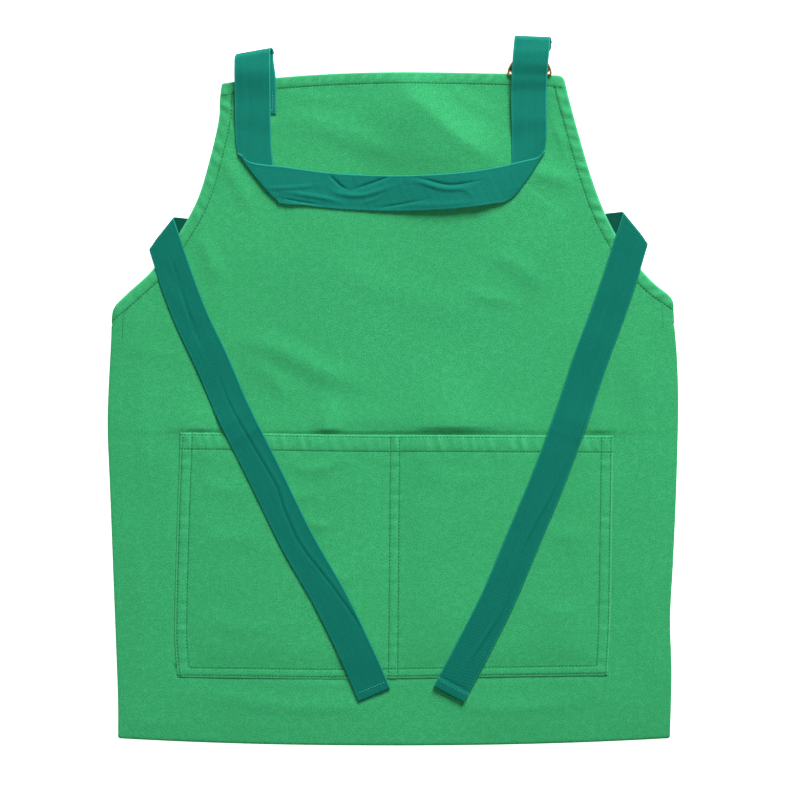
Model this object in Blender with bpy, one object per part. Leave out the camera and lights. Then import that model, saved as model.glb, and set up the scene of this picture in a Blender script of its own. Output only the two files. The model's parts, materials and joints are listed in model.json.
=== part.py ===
"""A bib apron of green cotton twill with teal webbing straps, folded and lying face up.

+X is the wearer's left as the apron lies, +Y runs up the bib, +Z stands out of the cloth.
The underside of the folded-up bottom flap is at z = 0. All lengths are in metres.
"""

import math

import bmesh
import bpy
from mathutils import Matrix, Vector

# Driving dimensions
CLOTH = 0.0008
WEBBING = 0.001
STRAP_WIDTH = 0.030
TIE_WIDTH = 0.029
GAP = 0.0003
THREAD_WIDTH = 0.0006
THREAD_HEIGHT = 0.0003
WIRE = 0.0020

# The stack of plies, from the surface it lies on: undersides, lowest first
FLAP_Z = 0.0
FLAP_TURNBACK_Z = FLAP_Z + CLOTH + GAP
TURNBACK_Z = FLAP_TURNBACK_Z + CLOTH + GAP
BODY_Z = TURNBACK_Z + CLOTH + GAP
FRONT_Z = BODY_Z + CLOTH
THREAD_Z = FRONT_Z + GAP
STRAP_Z = THREAD_Z + THREAD_HEIGHT + GAP

# Outline of the body, left and right, from the bib's corners down to the bottom fold
LEFT_ARMHOLE = [
    (-0.1466, 0.2636), (-0.1491, 0.2319), (-0.1569, 0.1976), (-0.1675, 0.1633),
    (-0.1852, 0.1313), (-0.2054, 0.1037), (-0.2275, 0.0831), (-0.2390, 0.0705),
]
RIGHT_ARMHOLE = [
    (0.1460, 0.2696), (0.1509, 0.2490), (0.1603, 0.2147), (0.1706, 0.1804),
    (0.1834, 0.1475), (0.2000, 0.1190), (0.2209, 0.0944), (0.2390, 0.0775),
]
LEFT_SIDE = [(-0.2409, 0.0450), (-0.2443, -0.0340), (-0.2409, -0.1200), (-0.2374, -0.2140)]
RIGHT_SIDE = [(0.2409, 0.0604), (0.2443, -0.0170), (0.2404, -0.1450), (0.2380, -0.2350)]
BIB_TOP = [(0.0800, 0.2716), (0.0060, 0.2726), (-0.0700, 0.2690)]

HEM_Y = 0.2606

# The fold at the bottom, about which the flap opens
FOLD_RADIUS = (BODY_Z - FLAP_Z) / 2
FOLD_Z = (BODY_Z + FLAP_Z + CLOTH) / 2
FOLD_Y = -0.3045 + FOLD_RADIUS + CLOTH / 2
BODY_END_Y = FOLD_Y + 0.0026
BODY_END_X = 0.2355
FLAP_TOP_Y = -0.023
TURNBACK_DEPTH_X = 0.111
TURNBACK_TOP_Y = 0.012

# Pocket
POCKET_LEFT = -0.1870
POCKET_RIGHT = 0.1875
POCKET_TOP = -0.0375
POCKET_BOTTOM = -0.2466
POCKET_DIVIDER = 0.0
POCKET_SEAM = 0.010
POCKET_BULGE = 0.0047
POCKET_RAMP = 0.022
MOUTH_HEM = 0.014

# Neck strap loops: the line about which the strap lifts runs through both loops
LOOP_RADIUS = 0.0046
LOOP_Z = 0.0085
LEFT_LOOP = (-0.1205, 0.2858)
RIGHT_LOOP = (0.1190, 0.2985)
LOOP_CLEARANCE = 0.0072
SEWN_END_Y = 0.2367

# Rings
RING_X = 0.1170
RING_Z = 0.00675
FRONT_BAR_Y = 0.2706
BACK_BAR_Y = 0.2730
FRONT_RING_HALF_WIDTH = 0.0183
BACK_RING_HALF_WIDTH = 0.01595
RING_DEPTH = 0.0165
RING_SQUARENESS = 3
TAB_HALF_WIDTH = 0.0145
CINCHED_HALF_WIDTH = 0.0139
CINCH_Y = 0.2815
TAB_RADIUS = 0.00185
RING_TRAVEL = math.radians(8)
BACK_RING_TILT = math.radians(-1.6)
FRONT_RING_TILT = math.radians(15.5)

# Ties: crease of each tie at its outer end, and its way down the front
TIE_FOLD_RADIUS = 0.0015
LEFT_TIE_PATH = [
    (-0.1985, 0.1325), (-0.1855, 0.0947), (-0.1650, 0.0433), (-0.1365, -0.0190),
    (-0.0827, -0.1281), (-0.0450, -0.1967), (-0.0163, -0.2600),
]
RIGHT_TIE_PATH = [
    (0.2078, 0.1372), (0.1941, 0.0947), (0.1757, 0.0433), (0.1521, -0.0253),
    (0.1114, -0.1281), (0.0810, -0.1967), (0.0483, -0.2595),
]
LEFT_CREASE = 51.5
RIGHT_CREASE = 129.2
ROOT_X = 0.128
ROOT_LOW_Y = -0.019
TIE_END_HEM = 0.008

UP = Vector((0, 0, 1))


def new_material(name, colour, roughness, metallic=0.0):
    material = bpy.data.materials.new(name)
    material.use_nodes = True
    shader = material.node_tree.nodes["Principled BSDF"]
    shader.inputs["Base Color"].default_value = (*colour, 1)
    shader.inputs["Roughness"].default_value = roughness
    shader.inputs["Metallic"].default_value = metallic
    return material


def cloth_material(name):
    return new_material(name, (0.042, 0.440, 0.158), 0.9)


def webbing_material(name):
    return new_material(name, (0.012, 0.190, 0.145), 0.85)


def brass_material(name):
    return new_material(name, (0.55, 0.40, 0.16), 0.3, 1.0)


def cloth_thread_material(name):
    return new_material(name, (0.035, 0.360, 0.130), 0.8)


def webbing_thread_material(name):
    return new_material(name, (0.010, 0.150, 0.115), 0.8)


def new_object(name, bm, material, pivot=None):
    bmesh.ops.recalc_face_normals(bm, faces=bm.faces)
    if bm.calc_volume(signed=True) < 0:
        bmesh.ops.reverse_faces(bm, faces=bm.faces)
    mesh = bpy.data.meshes.new(name)
    bm.to_mesh(mesh)
    bm.free()
    mesh.materials.append(material(name))
    thing = bpy.data.objects.new(name, mesh)
    bpy.context.collection.objects.link(thing)
    if pivot is not None:
        thing.parent = pivot
        thing.matrix_parent_inverse = pivot.matrix_world.inverted()
    return thing


def new_pivot(name, place):
    pivot = bpy.data.objects.new(name, None)
    pivot.location = place
    bpy.context.collection.objects.link(pivot)
    bpy.context.view_layer.update()
    return pivot


def smoothstep(t):
    t = min(max(t, 0.0), 1.0)
    return t * t * (3 - 2 * t)


def through(points, steps):
    """A smooth Catmull-Rom curve through the points, with the given steps between two of them."""
    points = [Vector(p) for p in points]
    ends = [2 * points[0] - points[1], *points, 2 * points[-1] - points[-2]]
    curve = []
    for a, b, c, d in zip(ends, ends[1:], ends[2:], ends[3:]):
        for k in range(steps):
            t = k / steps
            curve.append(
                0.5 * (2 * b + (c - a) * t + (2 * a - 5 * b + 4 * c - d) * t * t
                       + (3 * b - a - 3 * c + d) * t ** 3)
            )
    curve.append(points[-1])
    return curve


def heading(degrees):
    return Vector((math.cos(math.radians(degrees)), math.sin(math.radians(degrees)), 0))


def plate(name, outline, underside, material, pivot=None):
    """A flat ply of cloth with the given outline."""
    bm = bmesh.new()
    low = [bm.verts.new((x, y, underside)) for x, y in outline]
    bm.faces.new(low)
    moved = bmesh.ops.extrude_face_region(bm, geom=bm.faces[:])
    lifted = [v for v in moved["geom"] if isinstance(v, bmesh.types.BMVert)]
    bmesh.ops.translate(bm, verts=lifted, vec=(0, 0, CLOTH))
    return new_object(name, bm, material, pivot)


# A strip is a list of stations, each with its two edge points and the ply's normal.

def crossing(centre, travel, crease, width, normal=UP):
    """A station over the strip's whole width, parallel to the crease."""
    across = Vector((-travel.y, travel.x, 0)).normalized()
    reach = crease * (width / 2 / crease.dot(across))
    return centre + reach, centre - reach, normal


def run(path, height, width, first_crease=None, last_crease=None, ease=0.05):
    """Stations along a flat run: parallel to a crease at its ends, square to the path between them."""
    stations = []
    lengths = [0.0]
    for a, b in zip(path, path[1:]):
        lengths.append(lengths[-1] + (b - a).length)
    for k, point in enumerate(path):
        before = path[max(k - 1, 0)]
        after = path[min(k + 1, len(path) - 1)]
        travel = (after - before).to_3d().normalized()
        across = Vector((-travel.y, travel.x, 0))
        crease = across
        for end, distance in ((first_crease, lengths[k]), (last_crease, lengths[-1] - lengths[k])):
            if end is not None:
                line = end if end.dot(across) > 0 else -end
                crease = line.lerp(crease, smoothstep(distance / ease)).normalized()
        left, right, normal = crossing(point.to_3d(), travel, crease, width)
        left.z = height(left.x, left.y)
        right.z = height(right.x, right.y)
        stations.append((left, right, normal))
    return stations


def fold_arc(centre, travel, crease, radius, rise, width, steps=6):
    """Stations round a crease from the given centre, and where the strip comes out on the other side."""
    away = travel - crease * travel.dot(crease)
    slip = travel.dot(crease) / away.length
    away.normalize()
    stations = []
    for k in range(steps + 1):
        turn = math.pi * k / steps
        here = centre + crease * (radius * turn * slip) + away * (radius * math.sin(turn))
        here = here + UP * (rise * radius * (1 - math.cos(turn)))
        normal = UP * math.cos(turn) - away * (rise * math.sin(turn))
        reach = crease * (width / 2 / math.sqrt(1 - travel.dot(crease) ** 2))
        stations.append((here + reach, here - reach, normal))
    out_travel = crease * travel.dot(crease) - away * travel.dot(away)
    return stations, here, out_travel


def aligned(stations):
    """The stations with their edges and normals kept on the same sides all along."""
    result = [stations[0]]
    for left, right, normal in stations[1:]:
        last_left, last_right, last_normal = result[-1]
        if (left - last_left).length > (right - last_left).length:
            left, right = right, left
        if normal.dot(last_normal) < 0:
            normal = -normal
        result.append((left, right, normal))
    return result


def strip(name, stations, thickness, material, pivot=None, closed=False):
    """A solid strip along its stations."""
    bm = bmesh.new()
    sections = []
    for left, right, normal in aligned(stations):
        lift = normal * (thickness / 2)
        corners = (left - lift, right - lift, right + lift, left + lift)
        sections.append([bm.verts.new(p) for p in corners])
    followers = sections[1:] + sections[:1] if closed else sections[1:]
    for a, b in zip(sections, followers):
        for i in range(4):
            bm.faces.new((a[i], a[i - 3], b[i - 3], b[i]))
    if not closed:
        bm.faces.new(sections[0])
        bm.faces.new(sections[-1])
    return new_object(name, bm, material, pivot)


def thread(name, points, material, pivot=None, closed=False):
    """A seam's thread as one thin line lying just clear of the cloth; points are its underside."""
    points = [Vector(p) for p in points]
    count = len(points)
    stations = []
    for k, point in enumerate(points):
        before = points[k - 1] if closed or k else points[0]
        after = points[(k + 1) % count] if closed or k < count - 1 else points[-1]
        into = (point - before).to_2d()
        out = (after - point).to_2d()
        into = into.normalized() if into.length else out.normalized()
        out = out.normalized() if out.length else into
        middle = (into + out).normalized()
        reach = Vector((-middle.y, middle.x, 0)) * (THREAD_WIDTH / 2 / max(middle.dot(into), 0.3))
        centre = point + UP * (THREAD_HEIGHT / 2)
        stations.append((centre + reach, centre - reach, UP))
    return strip(name, stations, THREAD_HEIGHT, material, pivot, closed)


def inset(points, distance):
    """The open curve moved sideways, to its left, by a distance."""
    moved = []
    for k, point in enumerate(points):
        before = points[max(k - 1, 0)]
        after = points[min(k + 1, len(points) - 1)]
        along = (after - before).normalized()
        moved.append(point + Vector((-along.y, along.x)) * distance)
    return moved


def flat(height):
    return lambda x, y: height


def blend_heights(*stops):
    """A height that eases from stop to stop along Y; each stop is (y, height), from low y to high y."""
    def height(x, y):
        if y <= stops[0][0]:
            return stops[0][1]
        for (y0, z0), (y1, z1) in zip(stops, stops[1:]):
            if y <= y1:
                return z0 + (z1 - z0) * smoothstep((y - y0) / (y1 - y0))
        return stops[-1][1]
    return height


def body():
    left = through(LEFT_ARMHOLE, 3)
    right = through(RIGHT_ARMHOLE, 3)
    outline = [*left, *LEFT_SIDE, (-BODY_END_X, BODY_END_Y)]
    outline += [(BODY_END_X, BODY_END_Y), *reversed(RIGHT_SIDE), *reversed(right), *BIB_TOP]
    plate("body_panel", outline, BODY_Z, cloth_material)
    for name, points, depth in (
        ("left_armhole_stitching", left, 0.009), ("right_armhole_stitching", right, -0.009),
    ):
        seam = inset(points, depth)[2:-2:2]
        thread(name, [(x, y, THREAD_Z) for x, y in seam], cloth_thread_material)
    reach = RING_X - STRAP_WIDTH / 2 - 0.004
    hem = [(-reach, HEM_Y, THREAD_Z), (reach, HEM_Y, THREAD_Z)]
    thread("top_hem_stitching", hem, cloth_thread_material)


def turnbacks():
    """The plies folded behind at the sides, above the bottom fold."""
    for name, side in (("left_side_turnback", LEFT_SIDE), ("right_side_turnback", RIGHT_SIDE)):
        sign = math.copysign(1, side[0][0])
        edge = [(x - sign * 0.0012, y) for x, y in side]
        edge.append((sign * (BODY_END_X - 0.0012), BODY_END_Y))
        crown = [(0.150, 0.020), (0.190, 0.034), (0.222, 0.046)]
        inner = [(TURNBACK_DEPTH_X, BODY_END_Y), (TURNBACK_DEPTH_X, TURNBACK_TOP_Y), *crown]
        outline = edge + [(sign * x, y) for x, y in inner]
        plate(name, outline, TURNBACK_Z, cloth_material)


def flap_half_width(y):
    """The flap keeps just inside the body's sides."""
    return 0.2335 + 0.0075 * smoothstep((y - FOLD_Y) / 0.28)


def bottom_flap():
    pivot = new_pivot("bottom_flap_pivot", (0, FOLD_Y, FOLD_Z))
    stations = []
    rows = 6
    for k in range(rows):
        y = FLAP_TOP_Y + (FOLD_Y - FLAP_TOP_Y) * k / rows
        x = flap_half_width(y)
        z = FLAP_Z + CLOTH / 2
        stations.append((Vector((-x, y, z)), Vector((x, y, z)), UP))
    x = flap_half_width(FOLD_Y)
    for k in range(9):
        turn = math.pi * k / 8
        y = FOLD_Y - FOLD_RADIUS * math.sin(turn)
        z = FOLD_Z - FOLD_RADIUS * math.cos(turn)
        normal = Vector((0, math.sin(turn), math.cos(turn)))
        stations.append((Vector((-x, y, z)), Vector((x, y, z)), normal))
    strip("bottom_flap", stations, CLOTH, cloth_material, pivot)
    low, high = FOLD_Y + 0.0012, FLAP_TOP_Y - 0.0005
    for name, sign in (("bottom_flap_left_turnback", -1), ("bottom_flap_right_turnback", 1)):
        outline = [(sign * TURNBACK_DEPTH_X, low), (sign * TURNBACK_DEPTH_X, high)]
        for k in range(6):
            y = high + (low - high) * k / 5
            outline.append((sign * (flap_half_width(y) - 0.0012), y))
        plate(name, outline, FLAP_TURNBACK_Z, cloth_material, pivot)


def pocket_lift(x, y):
    """How far the pocket stands off the body: flat along its seams, and open at its mouth."""
    from_seam = min(x - POCKET_LEFT, POCKET_RIGHT - x, abs(x - POCKET_DIVIDER) + 0.004)
    across = smoothstep((from_seam - POCKET_SEAM) / POCKET_RAMP)
    along = smoothstep((y - POCKET_BOTTOM - POCKET_SEAM) / POCKET_RAMP)
    return POCKET_BULGE * across * along


POCKET_STEPS = (0, 0.055, 0.085, 0.115, 0.145, 0.18, 0.5, 0.82, 0.855, 0.885, 0.915, 0.945)


def pocket():
    half_left = POCKET_DIVIDER - POCKET_LEFT
    half_right = POCKET_RIGHT - POCKET_DIVIDER
    columns = [POCKET_LEFT + half_left * t for t in POCKET_STEPS]
    columns += [POCKET_DIVIDER + half_right * t for t in POCKET_STEPS] + [POCKET_RIGHT]
    rise = [POCKET_SEAM + POCKET_RAMP * t for t in (0, 0.25, 0.5, 0.75, 1)]
    rows = [POCKET_BOTTOM] + [POCKET_BOTTOM + r for r in rise] + [-0.125, POCKET_TOP]
    bm = bmesh.new()
    layers = []
    for base in (THREAD_Z, THREAD_Z + CLOTH):
        layers.append([[bm.verts.new((x, y, base + pocket_lift(x, y))) for x in columns] for y in rows])
    low, high = layers
    last_row, last_column = len(rows) - 1, len(columns) - 1
    for j in range(last_row):
        for i in range(last_column):
            for layer in layers:
                bm.faces.new((layer[j][i], layer[j][i + 1], layer[j + 1][i + 1], layer[j + 1][i]))
    for i in range(last_column):
        for j in (0, last_row):
            bm.faces.new((low[j][i], low[j][i + 1], high[j][i + 1], high[j][i]))
    for j in range(last_row):
        for i in (0, last_column):
            bm.faces.new((low[j][i], low[j + 1][i], high[j + 1][i], high[j][i]))
    new_object("pocket_panel", bm, cloth_material)


def pocket_threads():
    top = THREAD_Z + CLOTH + GAP
    edge = 0.0017

    def on_pocket(x, y):
        return (x, y, top + pocket_lift(x, y))

    left, right = POCKET_LEFT + edge, POCKET_RIGHT - edge
    below_mouth = POCKET_TOP - MOUTH_HEM - 0.003
    foot = POCKET_BOTTOM + edge
    corners = [(left, below_mouth), (left, foot), (right, foot), (right, below_mouth)]
    thread("pocket_edge_stitching", [on_pocket(*p) for p in corners], cloth_thread_material)
    outer = POCKET_LEFT + POCKET_SEAM / 2
    span = POCKET_RIGHT - POCKET_SEAM / 2 - outer
    half_left = POCKET_DIVIDER - POCKET_LEFT
    half_right = POCKET_RIGHT - POCKET_DIVIDER
    xs = [POCKET_LEFT + half_left * t for t in POCKET_STEPS[1:]] + [POCKET_DIVIDER]
    xs += [POCKET_DIVIDER + half_right * t for t in POCKET_STEPS[1:]]
    xs = [x for x in xs if outer < x < outer + span]
    upper, lower = POCKET_TOP - edge, POCKET_TOP - MOUTH_HEM
    ring = [on_pocket(x, lower) for x in xs] + [on_pocket(x, upper) for x in reversed(xs)]
    thread("pocket_mouth_stitching", ring, cloth_thread_material, closed=True)
    middle = [(POCKET_DIVIDER, lower - 0.002), (POCKET_DIVIDER, foot + 0.002)]
    thread("pocket_divider_stitching", [on_pocket(*p) for p in middle], cloth_thread_material)


def loop_axis():
    return (Vector(RIGHT_LOOP) - Vector(LEFT_LOOP)).to_3d().normalized()


def neck_loop(centre, travel):
    """The strap's turn at one loop, from the top of the loop round to its underside."""
    start = Vector((*centre, LOOP_Z + LOOP_RADIUS))
    return fold_arc(start, travel, loop_axis(), LOOP_RADIUS, -1, STRAP_WIDTH, 10)[0]


NECK_LOW = STRAP_Z + WEBBING / 2
NECK_HIGH = NECK_LOW + WEBBING + GAP
NECK_FOLD_RADIUS = (NECK_HIGH - NECK_LOW) / 2
NECK_TOP = LOOP_Z + LOOP_RADIUS


def neck_strap():
    """One length of webbing: up over the left loop, down, folded across, folded up and over the right loop."""
    pivot = new_pivot("neck_strap_pivot", (Vector(LEFT_LOOP).to_3d() + UP * LOOP_Z))
    left_crease, right_crease = heading(-50.9), heading(55.3)
    left_fold, right_fold = Vector((-0.1165, 0.1838)), Vector((0.1153, 0.1850))
    left_path = through([LEFT_LOOP, (-0.1200, 0.2500), (-0.1193, 0.2150), left_fold], 4)
    left_height = blend_heights((0.215, NECK_LOW), (0.240, NECK_HIGH + 0.0004), (0.287, NECK_TOP))
    stations = list(reversed(neck_loop(LEFT_LOOP, heading(90))))
    stations += run(left_path, left_height, STRAP_WIDTH, loop_axis(), left_crease, 0.03)[1:]
    travel = (left_path[-1] - left_path[-2]).to_3d().normalized()
    centre = left_path[-1].to_3d() + UP * NECK_LOW
    turn, centre, travel = fold_arc(
        centre, travel, left_crease, NECK_FOLD_RADIUS, 1, STRAP_WIDTH
    )
    stations += turn[1:]
    across = [centre.to_2d(), (-0.0800, 0.1748), (-0.0450, 0.1707), (0.0060, 0.1690),
              (0.0550, 0.1712), (0.0900, 0.1765), right_fold]
    across_height = lambda x, y: NECK_LOW + (NECK_HIGH - NECK_LOW) * smoothstep((abs(x) - 0.06) / 0.03)
    path = through(across, 4)
    stations += run(path, across_height, STRAP_WIDTH, left_crease, right_crease, 0.04)[1:]
    travel = (path[-1] - path[-2]).to_3d().normalized()
    turn, centre, travel = fold_arc(
        right_fold.to_3d() + UP * NECK_HIGH, travel, right_crease, NECK_FOLD_RADIUS, -1, STRAP_WIDTH
    )
    stations += turn[1:]
    up_path = through([centre.to_2d(), (0.1165, 0.2150), (0.1168, 0.2500), (0.1174, 0.2760), RIGHT_LOOP], 4)
    up_height = blend_heights(
        (0.212, NECK_LOW), (0.236, 0.0081), (0.255, 0.0081), (0.268, 0.0105), (0.280, NECK_TOP),
    )
    stations += run(up_path, up_height, STRAP_WIDTH, right_crease, loop_axis(), 0.02)[1:]
    stations += neck_loop(RIGHT_LOOP, heading(90))[1:]
    strip("neck_strap", stations, WEBBING, webbing_material, pivot)


def box_thread(name, x, y_low, y_high, z, half_width, pivot=None):
    corners = [(x - half_width, y_low), (x + half_width, y_low), (x + half_width, y_high),
               (x - half_width, y_high)]
    thread(name, [(*c, z) for c in corners], webbing_thread_material, pivot, closed=True)


def neck_strap_sewn_end():
    x = LEFT_LOOP[0] + 0.0052
    top = LEFT_LOOP[1] - LOOP_CLEARANCE
    z = THREAD_Z + WEBBING / 2
    half = STRAP_WIDTH / 2
    ends = [(SEWN_END_Y, x), (0.262, x), (top, x - 0.004)]
    stations = [(Vector((c - half, y, z)), Vector((c + half, y, z)), UP) for y, c in ends]
    strip("neck_strap_sewn_end", stations, WEBBING, webbing_material)
    box_thread("neck_strap_box_stitching", x, SEWN_END_Y + 0.003, 0.2600, z + WEBBING / 2 + GAP, 0.012)


def profile_strip(name, profile, half, material, pivot=None, tilt=0.0, about=None):
    """A strip of webbing at the rings, from (y, z) points, turned about a bar."""
    points = [Vector((RING_X, y, z)) for y, z in profile]
    if about is not None:
        spin = Matrix.Translation(about) @ Matrix.Rotation(tilt, 4, "X") @ Matrix.Translation(-about)
        points = [spin @ p for p in points]
    stations = []
    for k, point in enumerate(points):
        along = points[min(k + 1, len(points) - 1)] - points[max(k - 1, 0)]
        normal = Vector((0, -along.z, along.y)).normalized()
        side = Vector((half, 0, 0))
        stations.append((point - side, point + side, normal))
    strip(name, stations, WEBBING, material, pivot)


def arc_profile(y, z, radius, start, end, steps):
    """(y, z) points of an arc, its angles counted from +Y towards +Z in degrees."""
    angles = [math.radians(start + (end - start) * k / steps) for k in range(steps + 1)]
    return [(y + radius * math.cos(a), z + radius * math.sin(a)) for a in angles]


def ring_tab():
    lower = THREAD_Z + WEBBING / 2
    upper = lower + WEBBING + GAP
    profile = [(SEWN_END_Y, lower), (0.262, lower)]
    profile += arc_profile(BACK_BAR_Y, lower + TAB_RADIUS, TAB_RADIUS, -90, 90, 8)
    top = lower + 2 * TAB_RADIUS
    profile += [(FRONT_BAR_Y - 0.0012, top), (0.2670, top - 0.0006), (0.2640, upper + 0.0005),
                (0.2615, upper), (SEWN_END_Y + 0.001, upper)]
    profile_strip("ring_tab", profile, TAB_HALF_WIDTH, webbing_material)
    box_thread("ring_tab_stitching", RING_X, SEWN_END_Y + 0.004, 0.2590, upper + WEBBING / 2 + GAP, 0.012)


def d_ring(name, bar_y, half_width, tilt, pivot):
    """A ring of round wire: a straight bar in the tab, and a squarish arc above it."""
    path = []
    steps = 16
    power = 2 / RING_SQUARENESS
    for k in range(steps + 1):
        turn = math.pi * k / steps
        x = math.copysign(half_width * abs(math.cos(turn)) ** power, math.cos(turn))
        path.append(Vector((x, RING_DEPTH * abs(math.sin(turn)) ** power, 0)))
    path.append(Vector((-half_width / 3, 0, 0)))
    path.append(Vector((half_width / 3, 0, 0)))
    spin = Matrix.Translation((RING_X, bar_y, RING_Z)) @ Matrix.Rotation(tilt, 4, "X")
    bm = bmesh.new()
    sections = []
    for k, point in enumerate(path):
        along = (path[(k + 1) % len(path)] - path[k - 1]).normalized()
        side = Vector((-along.y, along.x, 0))
        corners = []
        for i in range(8):
            angle = math.tau * (i + 0.5) / 8
            offset = (side * math.cos(angle) + UP * math.sin(angle)) * (WIRE / 2)
            corners.append(bm.verts.new(spin @ (point + offset)))
        sections.append(corners)
    for a, b in zip(sections, sections[1:] + sections[:1]):
        for i in range(8):
            bm.faces.new((a[i], a[i - 7], b[i - 7], b[i]))
    ring = new_object(name, bm, brass_material, pivot)
    ring.data.shade_smooth()


def rings():
    """The rings hang lowered from the tab by their travel; raised, they just clear the neck strap."""
    back_bar = Vector((RING_X, BACK_BAR_Y, RING_Z))
    back_pivot = new_pivot("back_ring_pivot", back_bar)
    front_pivot = new_pivot("front_ring_pivot", (RING_X, FRONT_BAR_Y, RING_Z))
    back_tilt = BACK_RING_TILT - RING_TRAVEL
    front_tilt = FRONT_RING_TILT - RING_TRAVEL
    d_ring("d_ring_back", BACK_BAR_Y, BACK_RING_HALF_WIDTH, back_tilt, back_pivot)
    d_ring("d_ring_front", FRONT_BAR_Y, FRONT_RING_HALF_WIDTH, front_tilt, front_pivot)
    top_z = RING_Z + (CINCH_Y - BACK_BAR_Y) * math.sin(BACK_RING_TILT)
    end = RIGHT_LOOP[1] - LOOP_CLEARANCE
    profile = [(end, top_z - TAB_RADIUS)]
    profile += arc_profile(CINCH_Y, top_z, TAB_RADIUS, 270, 90, 8)
    profile += [(end, top_z + TAB_RADIUS)]
    profile_strip("neck_strap_ring_end", profile, CINCHED_HALF_WIDTH, webbing_material, back_pivot,
                  -RING_TRAVEL, back_bar)


TIE_LOW = STRAP_Z + WEBBING / 2
TIE_BULGE_RISE = 0.0009


def tie_height(x, y):
    """The tie lies on the body, climbs to the open pocket mouth and stays on the pocket."""
    on_pocket = THREAD_Z + CLOTH + TIE_BULGE_RISE + WEBBING / 2
    climb = smoothstep((0.003 - y) / 0.026)
    along = smoothstep((y - POCKET_BOTTOM + 0.006) / POCKET_RAMP)
    if y < POCKET_TOP:
        return on_pocket + POCKET_BULGE * along
    return TIE_LOW + (on_pocket + POCKET_BULGE - TIE_LOW) * climb


def tie(name, path_points, crease_angle, end_rise):
    """The front run of a tie with its outer fold, its folded end, and its hidden run behind."""
    crease = heading(crease_angle)
    path = through(path_points, 9)
    backwards = (path[0] - path[1]).to_3d().normalized()
    top = path[0].to_3d() + UP * TIE_LOW
    turn, hidden_start, inwards = fold_arc(top, backwards, crease, TIE_FOLD_RADIUS, -1, TIE_WIDTH)
    pivot = new_pivot(name + "_pivot", top - UP * TIE_FOLD_RADIUS)
    stations = list(reversed(turn)) + run(path, tie_height, TIE_WIDTH, crease, None, 0.06)[1:]
    travel = (path[-1] - path[-2]).to_3d().normalized()
    square = Vector((-travel.y, travel.x, 0))
    tip = path[-1].to_3d() + UP * tie_height(*path[-1])
    radius = (WEBBING + GAP) / 2
    # The seam across the folded end is sewn through both plies, on the upper face
    share = 0.75 * TIE_END_HEM / (path[-1] - path[-2]).length
    layers = max(end_rise, 0) * (WEBBING + GAP)
    edges = aligned(stations)[-2:]
    lift = UP * (layers + WEBBING / 2 + GAP)
    seam = [edges[1][side].lerp(edges[0][side], share) + lift for side in (0, 1)]
    middle = seam[0].lerp(seam[1], 0.5)
    end_turn, end_centre, back = fold_arc(tip, travel, square, radius, end_rise, TIE_WIDTH)
    stations += end_turn[1:]
    stations.append(crossing(end_centre + back * TIE_END_HEM, back, -square, TIE_WIDTH))
    strip(name, stations, WEBBING, webbing_material, pivot)
    seam = [middle + (point - middle) * 0.85 for point in seam]
    thread(name + "_end_stitching", seam, webbing_thread_material, pivot)
    return hidden_start, inwards, crease


def tie_root(name, sign, hidden_start, inwards, crease):
    """The hidden stretch: sewn to the turned-back side, up behind the bib, and folded outwards."""
    clear = 0.0065
    start = hidden_start + inwards * (clear / abs(inwards.cross(crease).z))
    corner_x = sign * ROOT_X
    corner = start + inwards * ((corner_x - start.x) / inwards.x)
    high_z = hidden_start.z
    radius = (WEBBING + GAP) / 2 + 0.0001
    crease_angle = (math.degrees(math.atan2(inwards.y, inwards.x)) - 90) / 2
    root_crease = heading(crease_angle)
    stations = [crossing(start, inwards, crease if crease.cross(inwards).z < 0 else -crease, TIE_WIDTH)]
    stations[0][0].z = stations[0][1].z = high_z
    corner.z = high_z
    turn, below, down = fold_arc(corner, inwards, root_crease, radius, -1, TIE_WIDTH)
    stations += turn
    square = Vector((-down.y, down.x, 0))
    low = below.z
    sewn_z = TURNBACK_Z - GAP - WEBBING / 2
    for y, z in ((0.085, low), (TURNBACK_TOP_Y + 0.030, low), (TURNBACK_TOP_Y + 0.006, sewn_z),
                 (ROOT_LOW_Y, sewn_z)):
        centre = Vector((below.x + down.x / down.y * (y - below.y), y, z))
        stations.append(crossing(centre, down, square, TIE_WIDTH))
    strip(name, stations, WEBBING, webbing_material)
    x = stations[-1][0].lerp(stations[-1][1], 0.5).x
    z = sewn_z - WEBBING / 2 - GAP - THREAD_HEIGHT
    box_thread(name + "_stitching", x, ROOT_LOW_Y + 0.003, TURNBACK_TOP_Y - 0.006, z, 0.0115)


def ties():
    for name, sign, path, crease_angle, end_rise in (
        ("left_tie", -1, LEFT_TIE_PATH, LEFT_CREASE, -1),
        ("right_tie", 1, RIGHT_TIE_PATH, RIGHT_CREASE, 1),
    ):
        hidden_start, inwards, crease = tie(name, path, crease_angle, end_rise)
        tie_root(name + "_root", sign, hidden_start, inwards, crease)


def main():
    for thing in list(bpy.data.objects):
        bpy.data.objects.remove(thing, do_unlink=True)
    body()
    turnbacks()
    bottom_flap()
    pocket()
    pocket_threads()
    neck_strap()
    neck_strap_sewn_end()
    ring_tab()
    rings()
    ties()


main()
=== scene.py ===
"""A green cotton twill bib apron with teal webbing straps, folded and lying face up on a pale floor.

The cloth is laid out from its flat pattern: the sides are folded behind, then the lower part.
Lengths are in metres. +X runs across, +Y up the bib and +Z out of the cloth's front.
"""

import json
import math

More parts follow.
